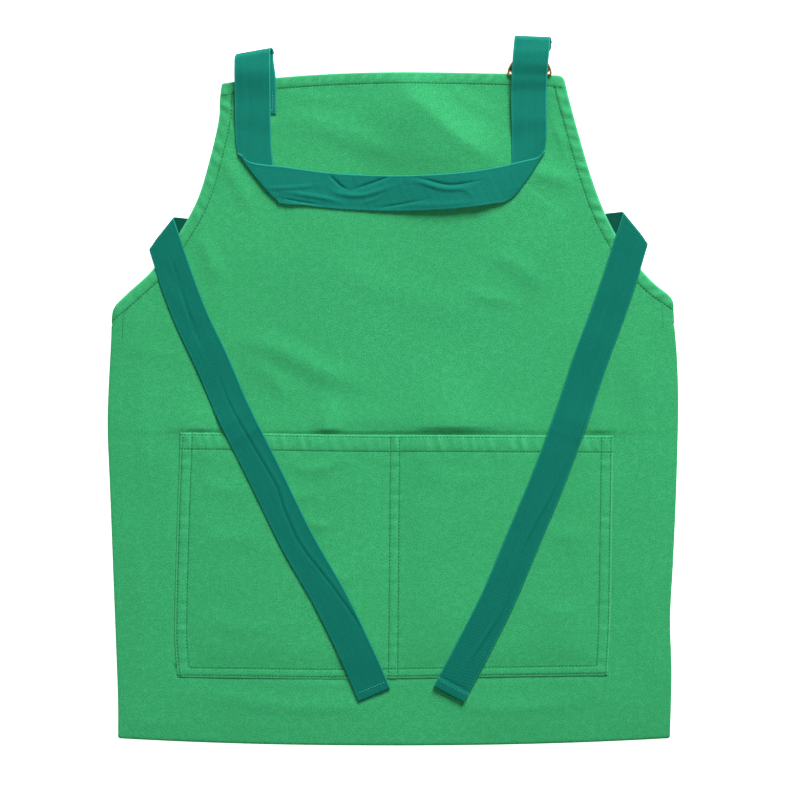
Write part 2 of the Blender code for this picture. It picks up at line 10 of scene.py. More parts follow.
import bpy
import numpy as np
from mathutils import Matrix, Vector


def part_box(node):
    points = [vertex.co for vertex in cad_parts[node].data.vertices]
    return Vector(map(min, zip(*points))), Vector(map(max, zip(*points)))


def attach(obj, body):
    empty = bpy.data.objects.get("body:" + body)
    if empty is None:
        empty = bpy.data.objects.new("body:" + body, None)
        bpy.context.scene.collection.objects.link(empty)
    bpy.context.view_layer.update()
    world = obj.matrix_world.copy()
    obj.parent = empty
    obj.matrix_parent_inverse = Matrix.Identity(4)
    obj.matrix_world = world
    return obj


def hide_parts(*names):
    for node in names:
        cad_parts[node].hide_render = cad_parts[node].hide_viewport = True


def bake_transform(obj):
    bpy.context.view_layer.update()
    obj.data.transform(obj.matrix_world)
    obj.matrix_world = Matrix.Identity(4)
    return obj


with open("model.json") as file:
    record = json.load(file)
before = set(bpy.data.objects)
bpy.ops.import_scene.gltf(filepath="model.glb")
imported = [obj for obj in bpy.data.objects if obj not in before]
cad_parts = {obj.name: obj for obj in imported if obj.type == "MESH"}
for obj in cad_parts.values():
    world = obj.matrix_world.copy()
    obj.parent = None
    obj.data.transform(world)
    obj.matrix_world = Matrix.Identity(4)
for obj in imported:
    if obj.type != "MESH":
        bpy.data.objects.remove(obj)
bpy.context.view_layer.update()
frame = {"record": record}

MM = 0.001
UP = Vector((0, 0, 1))


def node_z(node):
    """The heights of a node's underside and top."""
    low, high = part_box(node)
    return low[2], high[2]


# Heights of the plies, from the CAD nodes
BODY_LOW, BODY_TOP = node_z("body_panel")
TURNBACK_LOW, TURNBACK_TOP = node_z("left_side_turnback")
POCKET_LOW, POCKET_HIGH = node_z("pocket_panel")
CLOTH = BODY_TOP - BODY_LOW
BODY_MID = (BODY_LOW + BODY_TOP) / 2
WEBBING = 1.0 * MM
STRAP_MID = BODY_TOP + 1.4 * MM
THREAD = 0.55 * MM

# The webbing lies on the pocket a little lower than the plain pocket of the CAD allows
POCKET_FILL = 0.17
POCKET_BULGE = (POCKET_HIGH - POCKET_LOW - CLOTH) * POCKET_FILL
POCKET_MID = POCKET_LOW + CLOTH / 2

# The joints' lines
joints = {joint["name"]: joint for joint in frame["record"]["behaviour"]["joints"]}
FOLD_Y, FOLD_Z = joints["bottom_flap_unfold"]["pos_m"][1:]
FOLD_RADIUS = BODY_MID - FOLD_Z
LEFT_LOOP = Vector(joints["neck_strap_lift"]["pos_m"])
LOOP_AXIS = -Vector(joints["neck_strap_lift"]["axis"])
RIGHT_LOOP = LEFT_LOOP + LOOP_AXIS * (0.2395 / LOOP_AXIS.x)
LOOP_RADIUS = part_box("neck_strap")[1][2] - WEBBING / 2 - LEFT_LOOP.z
BACK_BAR = Vector(joints["ring_swing"]["pos_m"])
FRONT_BAR = Vector(joints["front_ring_swing"]["pos_m"])

STRAP_WIDTH = 30 * MM
TIE_WIDTH = 29 * MM

# Outline of the laid apron, from the bib's corners down the armholes and the folded sides
LEFT_EDGE = [
    (-0.1466, 0.2636), (-0.1482, 0.2490), (-0.1491, 0.2319), (-0.1569, 0.1976), (-0.1675, 0.1633),
    (-0.1852, 0.1313), (-0.2054, 0.1037), (-0.2275, 0.0831), (-0.2385, 0.0715), (-0.2409, 0.0600),
    (-0.2413, 0.0450), (-0.2436, 0.0000), (-0.2443, -0.0340), (-0.2426, -0.0770), (-0.2409, -0.1200),
    (-0.2374, -0.2140), (-0.2355, -0.2700), (-0.2354, -0.3100),
]
RIGHT_EDGE = [
    (0.1460, 0.2696), (0.1480, 0.2610), (0.1509, 0.2490), (0.1603, 0.2147), (0.1706, 0.1804),
    (0.1834, 0.1475), (0.2000, 0.1190), (0.2209, 0.0944), (0.2380, 0.0795), (0.2404, 0.0680),
    (0.2412, 0.0540), (0.2434, 0.0260), (0.2443, -0.0170), (0.2426, -0.0850), (0.2400, -0.1450),
    (0.2374, -0.1970), (0.2386, -0.2490), (0.2370, -0.3100),
]
BIB_TOP_Y = 0.2726
# The bib's top slopes down to its corners, and the cloth is drawn down with it above this height
BIB_DRAWN_Y = 0.2000
BIB_LEFT_DROP = 0.0090
BIB_RIGHT_DROP = 0.0030
SIDE_FOLD_RADIUS = (BODY_MID - (TURNBACK_LOW + TURNBACK_TOP) / 2) / 2
TURNBACK_DEPTH = 0.130
CROWN_Y = 0.056
CROWN_DROP = 0.044
CROWN_EASE_Y = -0.030
FLAP_TOP_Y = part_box("bottom_flap")[1][1]
HEM = 9.5 * MM
STITCH_PITCH = 3.0 * MM

POCKET_LEFT_EDGE = [(-0.1820, -0.0364), (-0.1850, -0.1200), (-0.1870, -0.2060), (-0.1845, -0.2456)]
POCKET_RIGHT_EDGE = [(0.1886, -0.0390), (0.1875, -0.1200), (0.1862, -0.2000), (0.1839, -0.2441)]
POCKET_MOUTH_Y = -0.0364
POCKET_FOOT_Y = -0.2466
POCKET_SIDE_ROWS = (1.7 * MM, 10.0 * MM)
POCKET_FOOT_ROWS = (1.7 * MM, 8.0 * MM)
POCKET_MOUTH_ROWS = (1.7 * MM, 14.0 * MM)
POCKET_DIVIDER_ROWS = (-3.9 * MM, 3.9 * MM)
POCKET_RAMP = 22 * MM


# ---------------------------------------------------------------- small maths

def smoothstep(t):
    t = np.clip(t, 0.0, 1.0)
    return t * t * (3 - 2 * t)


def step_up(value, over):
    """0 below a value of 0, rising smoothly to 1 at the given value."""
    return smoothstep(value / over)


def bell(distance, width):
    """1 at no distance, falling to about a third at the width."""
    return np.exp(-((distance / width) ** 2))


def through(points, spacing=2 * MM):
    """A smooth curve through the points, as an (n, d) array of points about one spacing apart."""
    points = np.array(points, float)
    ends = np.vstack([2 * points[0] - points[1], points, 2 * points[-1] - points[-2]])
    curve = []
    for a, b, c, d in zip(ends, ends[1:], ends[2:], ends[3:]):
        count = max(2, int(np.linalg.norm(c - b) / spacing))
        t = np.arange(count)[:, None] / count
        curve.append(
            0.5 * (2 * b + (c - a) * t + (2 * a - 5 * b + 4 * c - d) * t ** 2
                   + (3 * b - a - 3 * c + d) * t ** 3)
        )
    curve.append(points[-1:])
    return np.vstack(curve)


def along(curve):
    """The length travelled at each point of a curve."""
    steps = np.linalg.norm(np.diff(curve, axis=0), axis=1)
    return np.concatenate([[0.0], np.cumsum(steps)])


def nearest(curve, x, y):
    """The distance from each point to the curve, and how far along the curve its foot is."""
    start, step = curve[:-1], np.diff(curve, axis=0)
    length = np.linalg.norm(step, axis=1)
    travelled = along(curve)[:-1]
    flat = np.stack([np.ravel(x), np.ravel(y)], axis=1)
    distance = np.full(len(flat), np.inf)
    place = np.zeros(len(flat))
    for p, s, l, t in zip(start, step, length, travelled):
        share = np.clip((flat - p) @ s / l ** 2, 0, 1)
        gap = np.linalg.norm(flat - p - share[:, None] * s, axis=1)
        closer = gap < distance
        distance[closer] = gap[closer]
        place[closer] = t + share[closer] * l
    return distance.reshape(np.shape(x)), place.reshape(np.shape(x))


def edge_x(points, y):
    """Where an edge that runs down through the points lies at each height y."""
    curve = through(points)
    return np.interp(y, curve[::-1, 1], curve[::-1, 0])


def ripple(s, lengths, seed):
    """A smooth irregular ripple from -1 to 1 along s, made of the given wavelengths."""
    rng = np.random.default_rng(seed)
    total = np.zeros_like(s)
    for length in lengths:
        total = total + np.sin(math.tau * s / length + rng.uniform(0, math.tau))
    return total / len(lengths)


def ridge(x, y, points, width, left_width=None):
    """1 along a line through the points, fading to 0 at about a width from it, and at its ends.

    The left side of the line can have another width.
    """
    curve = through(points, 3 * MM)
    distance, place = nearest(curve, x, y)
    total = along(curve)[-1]
    if left_width is not None:
        chord = curve[-1] - curve[0]
        on_left = chord[0] * (y - curve[0][1]) - chord[1] * (x - curve[0][0]) > 0
        width = np.where(on_left, left_width, width)
    ends = step_up(place, 0.35 * total) * step_up(total - place, 0.35 * total)
    return bell(distance, width) * (0.15 + 0.85 * ends)


# ---------------------------------------------------------------- meshes

def new_piece(name, vertices, faces, material, attributes=()):
    mesh = bpy.data.meshes.new(name)
    mesh.from_pydata(np.asarray(vertices, float).tolist(), [], np.asarray(faces).tolist())
    for key, values in attributes:
        layer = mesh.attributes.new(key, "FLOAT_VECTOR", "POINT")
        layer.data.foreach_set("vector", np.ascontiguousarray(values, np.float32).ravel())
    mesh.shade_smooth()
    mesh.materials.append(material)
    piece = bpy.data.objects.new(name, mesh)
    bpy.context.collection.objects.link(piece)
    return piece


def grid_normals(grid, keep):
    """Unit normals of a grid's points, from the cells that are kept."""
    a, b, c, d = grid[:-1, :-1], grid[:-1, 1:], grid[1:, 1:], grid[1:, :-1]
    normal = np.cross(c - a, d - b) * keep[..., None]
    total = np.zeros_like(grid)
    total[:-1, :-1] += normal
    total[:-1, 1:] += normal
    total[1:, 1:] += normal
    total[1:, :-1] += normal
    length = np.linalg.norm(total, axis=2, keepdims=True)
    return total / np.where(length > 0, length, 1)


def sheet_piece(name, grid, thickness, material, attributes, keep=None):
    """A closed sheet around a grid of middle points, with a rounded edge all round."""
    rows, columns = grid.shape[:2]
    if keep is None:
        keep = np.ones((rows - 1, columns - 1), bool)
    thickness = np.broadcast_to(thickness, (rows, columns))
    normals = grid_normals(grid, keep)
    index = np.arange(rows * columns).reshape(rows, columns)
    cells = np.stack([index[:-1, :-1], index[:-1, 1:], index[1:, 1:], index[1:, :-1]], axis=2)[keep]
    edges = np.concatenate([cells[:, [k, (k + 1) % 4]] for k in range(4)])
    keys = np.sort(edges, axis=1) @ np.array([rows * columns, 1])
    _, inverse, counts = np.unique(keys, return_inverse=True, return_counts=True)
    border = edges[counts[inverse] == 1]
    used = np.unique(cells)
    points, normals = grid.reshape(-1, 3), normals.reshape(-1, 3)
    half = thickness.reshape(-1, 1) / 2
    outward = np.zeros_like(points)
    for start, end in border:
        side = np.cross(points[end] - points[start], normals[start])
        side /= max(np.linalg.norm(side), 1e-12)
        outward[start] += side
        outward[end] += side
    on_border = np.unique(border)
    length = np.linalg.norm(outward[on_border], axis=1, keepdims=True)
    outward[on_border] /= np.maximum(length, 1e-9)
    shoulder = np.ones((len(points), 1))
    shoulder[on_border] = 0.72
    top = points + normals * half * shoulder
    low = points - normals * half * shoulder
    rim = points[on_border] + outward[on_border] * half[on_border] * 0.62
    renumber = np.full(len(points), -1)
    renumber[used] = np.arange(len(used))
    rim_number = np.full(len(points), -1)
    rim_number[on_border] = 2 * len(used) + np.arange(len(on_border))
    vertices = np.vstack([top[used], low[used], rim])
    top_faces = renumber[cells]
    low_faces = top_faces[:, ::-1] + len(used)
    start, end = renumber[border[:, 0]], renumber[border[:, 1]]
    rim_start, rim_end = rim_number[border[:, 0]], rim_number[border[:, 1]]
    upper = np.stack([end, start, rim_start, rim_end], axis=1)
    lower = np.stack([rim_end, rim_start, start + len(used), end + len(used)], axis=1)
    faces = np.vstack([top_faces, low_faces, upper, lower])
    layers = []
    for key, values in attributes:
        values = np.asarray(values, float).reshape(-1, 3)
        layers.append((key, np.vstack([values[used], values[used], values[on_border]])))
    return new_piece(name, vertices, faces, material, layers)


def vector3(a, b, c=0.0):
    """Three fields as one field of vectors, for a mesh attribute."""
    return np.stack(np.broadcast_arrays(a, b, c), axis=-1)


# ---------------------------------------------------------------- materials

class Nodes:
    """Short calls for building one material's nodes."""

    def __init__(self, name):
        self.material = bpy.data.materials.new(name)
        self.material.use_nodes = True
        self.tree = self.material.node_tree
        self.shader = self.tree.nodes["Principled BSDF"]

    def finished(self, tone, normal, values):
        """The material, with its shader's colour, normal and plain values set."""
        for key, value in {"Base Color": tone, "Normal": normal, **values}.items():
            self.put(self.shader.inputs[key], value)
        return self.material

    def put(self, socket, value):
        if isinstance(value, bpy.types.NodeSocket):
            self.tree.links.new(value, socket)
        else:
            socket.default_value = value

    def maths(self, operation, *values):
        node = self.tree.nodes.new("ShaderNodeMath")
        node.operation = operation
        for socket, value in zip(node.inputs, values):
            self.put(socket, value)
        return node.outputs[0]

    def add(self, a, b):
        return self.maths("ADD", a, b)

    def minus(self, a, b):
        return self.maths("SUBTRACT", a, b)

    def times(self, a, b):
        return self.maths("MULTIPLY", a, b)

    def attribute(self, name):
        node = self.tree.nodes.new("ShaderNodeAttribute")
        node.attribute_name = name
        return node.outputs["Vector"]

    def parts(self, vector):
        node = self.tree.nodes.new("ShaderNodeSeparateXYZ")
        self.put(node.inputs[0], vector)
        return node.outputs[0], node.outputs[1], node.outputs[2]

    def noise(self, vector, scale, detail=2.0, roughness=0.5):
        node = self.tree.nodes.new("ShaderNodeTexNoise")
        values = {"Vector": vector, "Scale": scale, "Detail": detail, "Roughness": roughness}
        for key, value in values.items():
            self.put(node.inputs[key], value)
        return node.outputs["Fac"]

    def ramp(self, value, low, high, to_low=0.0, to_high=1.0):
        node = self.tree.nodes.new("ShaderNodeMapRange")
        # The inputs are the value and the ends of the two ranges, in this order
        for socket, number in zip(node.inputs, (value, low, high, to_low, to_high)):
            self.put(socket, number)
        return node.outputs[0]

    def mix(self, share, a, b):
        node = self.tree.nodes.new("ShaderNodeMix")
        node.data_type = "RGBA"
        # Sockets 6 and 7 are the two colours
        self.put(node.inputs[0], share)
        self.put(node.inputs[6], a)
        self.put(node.inputs[7], b)
        return node.outputs[2]

    def bump(self, height, distance, strength=1.0, under=None):
        node = self.tree.nodes.new("ShaderNodeBump")
        node.inputs["Strength"].default_value = strength
        node.inputs["Distance"].default_value = distance
        self.put(node.inputs["Height"], height)
        if under is not None:
            self.put(node.inputs["Normal"], under)
        return node.outputs[0]

    def wave(self, a, b, turn, length):
        """A sine of the given wavelength across the direction at that turn in the (a, b) plane."""
        first = self.times(a, math.cos(turn) * math.tau / length)
        second = self.times(b, math.sin(turn) * math.tau / length)
        return self.maths("SINE", self.add(first, second))

    def holes(self, s, d, row):
        """Painted shade of the needle holes, a stitch apart along a row at distance d = row from the edge.
        """
        phase = self.maths("FRACT", self.times(s, 1 / STITCH_PITCH))
        reach = self.times(self.minus(phase, 0.5), STITCH_PITCH)
        away = self.minus(d, row)
        # The holes are a little longer along the row than across it
        squares = self.add(self.times(reach, self.times(reach, 0.55)), self.times(away, away))
        return self.ramp(self.maths("SQRT", squares), 0.25 * MM, 0.62 * MM, 1.0, 0.0)

    def groove(self, d, row, width):
        """1 on a row, fading out over a width to each side."""
        away = self.maths("ABSOLUTE", self.minus(d, row))
        return self.ramp(away, 0.0, width, 1.0, 0.0)


def colour(r, g, b):
    """An sRGB colour, 0 to 255, as the linear colour that a shader takes."""
    values = [c / 255 for c in (r, g, b)]
    return (*[c / 12.92 if c <= 0.04045 else ((c + 0.055) / 1.055) ** 2.4 for c in values], 1)


TWILL_GREEN = colour(62, 191, 120)
TWILL_DEEP = colour(50, 158, 96)
TWILL_PALE = colour(96, 216, 156)
# Painted shade for the needle holes
HOLE_SHADE_GREEN = colour(18, 100, 46)
TEAL = colour(8, 138, 118)
TEAL_DEEP = colour(5, 102, 87)
TEAL_PALE = colour(40, 176, 156)
# Painted shade for the stretches of webbing behind the bib
TEAL_SHADE = colour(2, 78, 58)
# The neck strap's teal: a lighter copy of the ties' teal, painted light for the brighter light on the upper
# straps
NECK_LIT_TEAL = colour(16, 148, 128)
NECK_LIT_DEEP = colour(10, 110, 94)
NECK_LIT_PALE = colour(60, 196, 176)


def twill(name, rows):
    """Cotton twill: a diagonal rib, slubs and nap, with painted highlights on the hems' edges and pucker
    crests, and painted shade in the needle holes and grooves of its rows.

    Each row is (attribute, its part with the distance, its part with the length, the row's distance).
    """
    n = Nodes(name)
    weave = n.attribute("weave")
    u, v, _ = n.parts(weave)
    rib = n.wave(u, v, math.radians(52), 1.15 * MM)
    cross = n.wave(u, v, math.radians(-30), 0.9 * MM)
    slub = n.noise(weave, 820, 2.0, 0.6)
    nap = n.noise(weave, 190, 3.0, 0.6)
    cloud = n.noise(weave, 9, 2.0, 0.5)
    tone = n.mix(n.ramp(slub, 0.39, 0.61), TWILL_DEEP, TWILL_GREEN)
    tone = n.mix(n.ramp(nap, 0.45, 0.80, 0.0, 0.30), tone, TWILL_PALE)
    tone = n.mix(n.ramp(rib, 0.1, 1.0, 0.0, 0.16), tone, TWILL_PALE)
    tone = n.mix(n.ramp(cloud, 0.35, 0.65, 0.0, 0.22), tone, TWILL_DEEP)
    # Painted highlight on the hems' edges and the crests of their puckers, carried in the seam attribute
    _, _, painted_highlight = n.parts(n.attribute("seam"))
    tone = n.mix(n.ramp(painted_highlight, 0.0, 1.0, 0.0, 0.75), tone, TWILL_PALE)
    holes = None
    grooves = None
    for attribute, distance, length, row in rows:
        fields = n.parts(n.attribute(attribute))
        hole = n.holes(fields[length], fields[distance], row)
        groove = n.groove(fields[distance], row, 1.3 * MM)
        holes = hole if holes is None else n.maths("MAXIMUM", holes, hole)
        grooves = groove if grooves is None else n.maths("MAXIMUM", grooves, groove)
    # Painted shade: darker along the stitched rows' grooves and darkest in the needle holes
    tone = n.mix(n.times(grooves, 0.12), tone, TWILL_DEEP)
    tone = n.mix(n.times(holes, 0.80), tone, HOLE_SHADE_GREEN)
    fine = n.add(n.times(rib, 0.5), n.times(cross, 0.25))
    fine = n.add(fine, n.times(slub, 1.6))
    surface = n.bump(fine, 0.10 * MM, 0.8)
    sunk = n.add(n.times(grooves, -0.5), n.times(holes, -0.7))
    return n.finished(tone, n.bump(sunk, 0.5 * MM, 1.0, surface), {
        "Roughness": 0.88, "Specular IOR Level": 0.12,
        "Sheen Weight": 0.05, "Sheen Roughness": 0.45, "Sheen Tint": colour(170, 240, 195),
    })


def webbing(name, base=TEAL, deep=TEAL_DEEP, pale=TEAL_PALE):
    """Flat cotton webbing: a fine slanting twill, with a painted highlight along the selvedges.

    The attribute weave holds (length along, distance across, share of the half width).
    """
    n = Nodes(name)
    weave = n.attribute("weave")
    u, v, across = n.parts(weave)
    twill_line = n.wave(u, v, math.radians(34), 1.25 * MM)
    pick = n.wave(u, v, math.radians(-50), 0.85 * MM)
    slub = n.noise(weave, 780, 2.0, 0.6)
    cloud = n.noise(weave, 14, 2.0, 0.5)
    edge = n.ramp(n.maths("ABSOLUTE", across), 0.93, 0.99)
    tone = n.mix(n.ramp(slub, 0.40, 0.61), deep, base)
    tone = n.mix(n.ramp(twill_line, 0.0, 1.0, 0.0, 0.13), tone, pale)
    tone = n.mix(n.ramp(cloud, 0.35, 0.68, 0.0, 0.25), tone, deep)
    # Painted highlight along the selvedges
    tone = n.mix(n.times(edge, 0.45), tone, pale)
    # Painted shade: darker on the stretches that lie behind the bib
    behind_shade, _, _ = n.parts(n.attribute("behind_shade"))
    tone = n.mix(n.times(behind_shade, 0.8), tone, TEAL_SHADE)
    fine = n.add(n.times(twill_line, 0.6), n.times(pick, 0.3))
    fine = n.add(fine, n.times(slub, 1.3))
    return n.finished(tone, n.bump(fine, 0.11 * MM, 0.9), {
        "Roughness": 0.80, "Specular IOR Level": 0.12,
        "Sheen Weight": 0.06, "Sheen Roughness": 0.40, "Sheen Tint": colour(150, 235, 220),
    })


def thread_material(name, base, deep):
    """Sewing thread: two plies twisted together; weave holds (length along, round, 0)."""
    n = Nodes(name)
    weave = n.attribute("weave")
    u, v, _ = n.parts(weave)
    twist = n.wave(u, v, math.radians(40), 0.42 * MM)
    tone = n.mix(n.ramp(twist, -1.0, 1.0), deep, base)
    return n.finished(tone, n.bump(twist, 0.06 * MM, 0.8), {"Roughness": 0.8, "Specular IOR Level": 0.12})


def brass(name):
    """Brass-plated wire: bright metal, a little mottled and scuffed by rubbing."""
    n = Nodes(name)
    place = n.tree.nodes.new("ShaderNodeTexCoord").outputs["Object"]
    mottle = n.noise(place, 420, 3.0, 0.6)
    tone = n.mix(n.ramp(mottle, 0.35, 0.7), colour(128, 98, 46), colour(226, 190, 116))
    pits = n.bump(n.noise(place, 1500, 2.0), 0.02 * MM, 0.5)
    return n.finished(tone, pits, {"Metallic": 1.0, "Roughness": n.ramp(mottle, 0.3, 0.7, 0.22, 0.42)})


def floor_material(name):
    n = Nodes(name)
    place = n.tree.nodes.new("ShaderNodeTexCoord").outputs["Object"]
    cloud = n.ramp(n.noise(place, 3, 2.0), 0.3, 0.7)
    tone = n.mix(cloud, (0.93, 0.93, 0.93, 1), (0.96, 0.96, 0.96, 1))
    n.put(n.shader.inputs["Base Color"], tone)
    n.shader.inputs["Roughness"].default_value = 0.9
    n.shader.inputs["Specular IOR Level"].default_value = 0.0
    n.shader.inputs["Emission Color"].default_value = (1, 1, 1, 1)
    n.shader.inputs["Emission Strength"].default_value = 1.0
    return n.material


# Stitched rows: attribute, its part with the distance, its part with the length, the row's distance
BODY_ROWS = (("seam", 1, 0, HEM),)
POCKET_ROW_FIELDS = (
    [("sides", 0, 2, row) for row in POCKET_SIDE_ROWS]
    + [("sides", 1, 2, row) for row in POCKET_SIDE_ROWS]
    + [("ends", 0, 2, row) for row in POCKET_FOOT_ROWS]
    + [("ends", 1, 2, row) for row in POCKET_MOUTH_ROWS]
    + [("middle", 0, 1, row) for row in POCKET_DIVIDER_ROWS]
)

BODY_TWILL = twill("body_twill", BODY_ROWS)
POCKET_TWILL = twill("pocket_twill", POCKET_ROW_FIELDS)
TIE_WEBBING = webbing("tie_webbing")
# Painted light: the neck strap, its sewn end, ring tab and tail use the lighter copy of the webbing
LIT_NECK_WEBBING = webbing("lit_neck_webbing", NECK_LIT_TEAL, NECK_LIT_DEEP, NECK_LIT_PALE)
GREEN_THREAD = thread_material("green_thread", colour(60, 178, 110), colour(24, 112, 60))
TEAL_THREAD = thread_material("teal_thread", colour(104, 204, 186), colour(36, 130, 114))
BRASS = brass("ring_brass")


# ---------------------------------------------------------------- the apron's cloth

BIB_CORNER_RADII = (1.6 * MM, 5.0 * MM)


def top_drop(x):
    """How far the bib's top edge lies below its highest point."""
    drop = np.where(x < 0.006, BIB_LEFT_DROP, BIB_RIGHT_DROP)
    return drop * ((x - 0.006) / 0.148) ** 2


def bottom_bow(x):
    """How far the fold at the bottom rises towards the sides."""
    return 6.2 * MM * np.abs(x / 0.236) ** 2.2


def hem_line():
    """The edge of the armholes and of the bib's top, as one curve from the left side to the right."""
    left = through(LEFT_ARMHOLE)[::-1]
    x = np.linspace(LEFT_EDGE[0][0], RIGHT_EDGE[0][0], 80)[1:-1]
    top = np.stack([x, BIB_TOP_Y - top_drop(x)], axis=1)
    right = through(RIGHT_ARMHOLE)
    return np.vstack([left, top, right])


# The armhole edges, each carried on past the side fold that cuts it off
LEFT_ARMHOLE = LEFT_EDGE[:8] + [(-0.2395, 0.0725), (-0.2520, 0.0625), (-0.2800, 0.0420)]
RIGHT_ARMHOLE = RIGHT_EDGE[:8] + [(0.2380, 0.0815), (0.2520, 0.0720), (0.2800, 0.0520)]
HEM_LINE = hem_line()

# Soft folds that the sewn straps pull into the cloth: points, height and width in millimetres,
# and the width on the left side where it is different
BODY_RIDGES = [
    ([(0.000, 0.266), (0.030, 0.240), (0.060, 0.214), (0.094, 0.194)], 0.90, 8.0),
    ([(-0.018, 0.276), (0.024, 0.240), (0.056, 0.212), (0.100, 0.186)], 7.60, 44.0, 24.0),
    ([(0.045, 0.262), (0.070, 0.246), (0.095, 0.232)], 0.60, 6.0),
    ([(-0.104, 0.238), (-0.060, 0.228), (-0.012, 0.208), (0.030, 0.200)], 1.30, 11.0),
    ([(-0.098, 0.258), (-0.070, 0.252), (-0.040, 0.250)], 0.45, 6.0),
    ([(0.112, 0.192), (0.134, 0.184), (0.160, 0.176)], 1.60, 8.0),
    ([(0.137, 0.262), (0.146, 0.243), (0.152, 0.222)], 0.75, 2.8),
    ([(0.134, 0.244), (0.141, 0.222), (0.148, 0.196)], 0.65, 3.0),
    ([(0.134, 0.226), (0.150, 0.214), (0.160, 0.203)], 0.55, 2.8),
    ([(-0.150, 0.236), (-0.139, 0.226), (-0.134, 0.212)], 0.55, 2.6),
    ([(-0.148, 0.256), (-0.139, 0.247), (-0.136, 0.236)], 0.55, 2.4),
    ([(-0.153, 0.205), (-0.140, 0.190), (-0.120, 0.150)], 1.00, 6.0),
    ([(-0.166, 0.140), (-0.158, 0.116), (-0.147, 0.088)], 1.35, 7.0),
    ([(-0.142, 0.046), (-0.100, 0.035), (-0.055, 0.014), (-0.015, 0.003)], 1.90, 10.0),
    ([(-0.128, 0.030), (-0.100, 0.008), (-0.080, -0.012)], 1.00, 8.0),
    ([(0.080, 0.120), (0.108, 0.106), (0.128, 0.082)], 1.10, 8.0),
    ([(0.060, 0.090), (0.080, 0.080), (0.110, 0.076)], 0.80, 6.0),
    ([(-0.070, 0.120), (0.000, 0.085), (0.090, 0.060)], 0.90, 14.0),
    ([(0.150, 0.160), (0.128, 0.120), (0.120, 0.080)], 0.90, 8.0),
    ([(-0.205, 0.060), (-0.215, 0.000), (-0.210, -0.080)], 0.80, 9.0),
    ([(-0.235, 0.046), (-0.214, 0.034), (-0.180, 0.030)], 0.45, 7.0),
    ([(0.205, 0.050), (0.215, -0.020), (0.212, -0.100)], 0.80, 9.0),
    ([(-0.170, -0.262), (-0.080, -0.272), (0.000, -0.268)], 0.75, 7.0),
    ([(0.040, -0.268), (0.100, -0.274), (0.180, -0.266)], 0.65, 7.0),
    ([(-0.225, -0.120), (-0.214, -0.180), (-0.220, -0.240)], 0.50, 7.0),
    ([(0.222, -0.150), (0.214, -0.200), (0.218, -0.260)], 0.50, 7.0),
]
# Swells of the bib against the pocket's mouth: centre, half width, reach upwards and downwards, height
BODY_SWELLS = [
    (0.050, -0.0300, 0.030, 0.040, 0.0046, 3.00),
    (-0.056, -0.0318, 0.010, 0.026, 0.0038, 2.50),
    (-0.166, -0.0318, 0.017, 0.026, 0.0032, 1.60),
    (0.178, -0.0328, 0.011, 0.020, 0.0034, 1.30),
    (0.000, -0.0340, 0.170, 0.018, 0.0026, 1.25),
    (-0.012, -0.0230, 0.026, 0.022, 0.0085, 0.95),
    (0.100, -0.0260, 0.020, 0.020, 0.0070, 0.70),
]


def pressed_flat(x, y):
    """1 where a strap is sewn down on the bib, fading out round it."""
    sewn = 0.0
    for middle, half in ((-0.1155, 0.018), (0.117, 0.017)):
        sewn = np.maximum(sewn, step_up(half + 2 * MM - np.abs(x - middle), 4 * MM))
    return sewn * step_up(y - 0.232, 5 * MM)


def body_wave(x, y):
    """Unevenness of the laid cloth, from 0 up, in metres."""
    slow = np.sin(x * 41 + 1.3 * np.sin(y * 17)) * np.sin(y * 33 + 1.1 + 1.2 * np.sin(x * 19))
    quick = np.sin(x * 83 + y * 37 + 0.6) * np.sin(y * 71 - x * 29 + 2.0)
    small = np.sin(x * 190 + 2.0 * np.sin(y * 60)) * np.sin(y * 175 + x * 45 + 1.0)
    lift = 0.42 + 0.24 * slow + 0.13 * quick + 0.045 * small
    for points, height, *widths in BODY_RIDGES:
        lift = lift + height * ridge(x, y, points, *[width * MM for width in widths])
    for cx, cy, wide, up, down, height in BODY_SWELLS:
        reach = np.where(y > cy, up, down)
        lift = lift + height * bell(x - cx, wide) * bell(y - cy, reach)
    # It is pressed flat and a little down under the pocket
    covered = step_up(-0.036 - y, 0.01) * step_up(y + 0.252, 0.01)
    covered = covered * step_up(0.192 - np.abs(x), 0.01)
    lift = np.maximum(lift, 0) * (1 - 0.80 * covered) * (1 - 0.85 * pressed_flat(x, y))
    return (lift - 0.25 * covered) * MM


def hem_pucker(s, d):
    """The slanting puckers that a shrunk hem draws up, from about -1 to 1."""
    slant = s + 0.60 * d
    short = np.sin(math.tau * slant / (10.4 * MM) + 1.3 * np.sin(s * 70))
    long = np.sin(math.tau * slant / (15.7 * MM) + 1)
    return (short * (0.7 + 0.3 * np.sin(s * 157 + 1)) + 0.4 * long) / 1.2


def hem_shape(s, d, pressed):
    """What a turned hem adds to the middle's height and the thickness, at distance d inside its edge."""
    inside = step_up(HEM + 0.6 * MM - d, 1.4 * MM)
    row = bell(d - HEM, 1.1 * MM)
    pucker = hem_pucker(s, d)
    near = bell(d - 4.5 * MM, 5.5 * MM)
    puff = np.clip(np.sin(math.pi * np.clip(d / HEM, 0, 1)), 0, 1)
    lift = (0.12 * inside + 0.60 * near * (0.5 + pucker) + 0.20 * puff * inside - 0.26 * row) * MM
    return lift * (1 - 0.85 * pressed), 0.55 * MM * inside


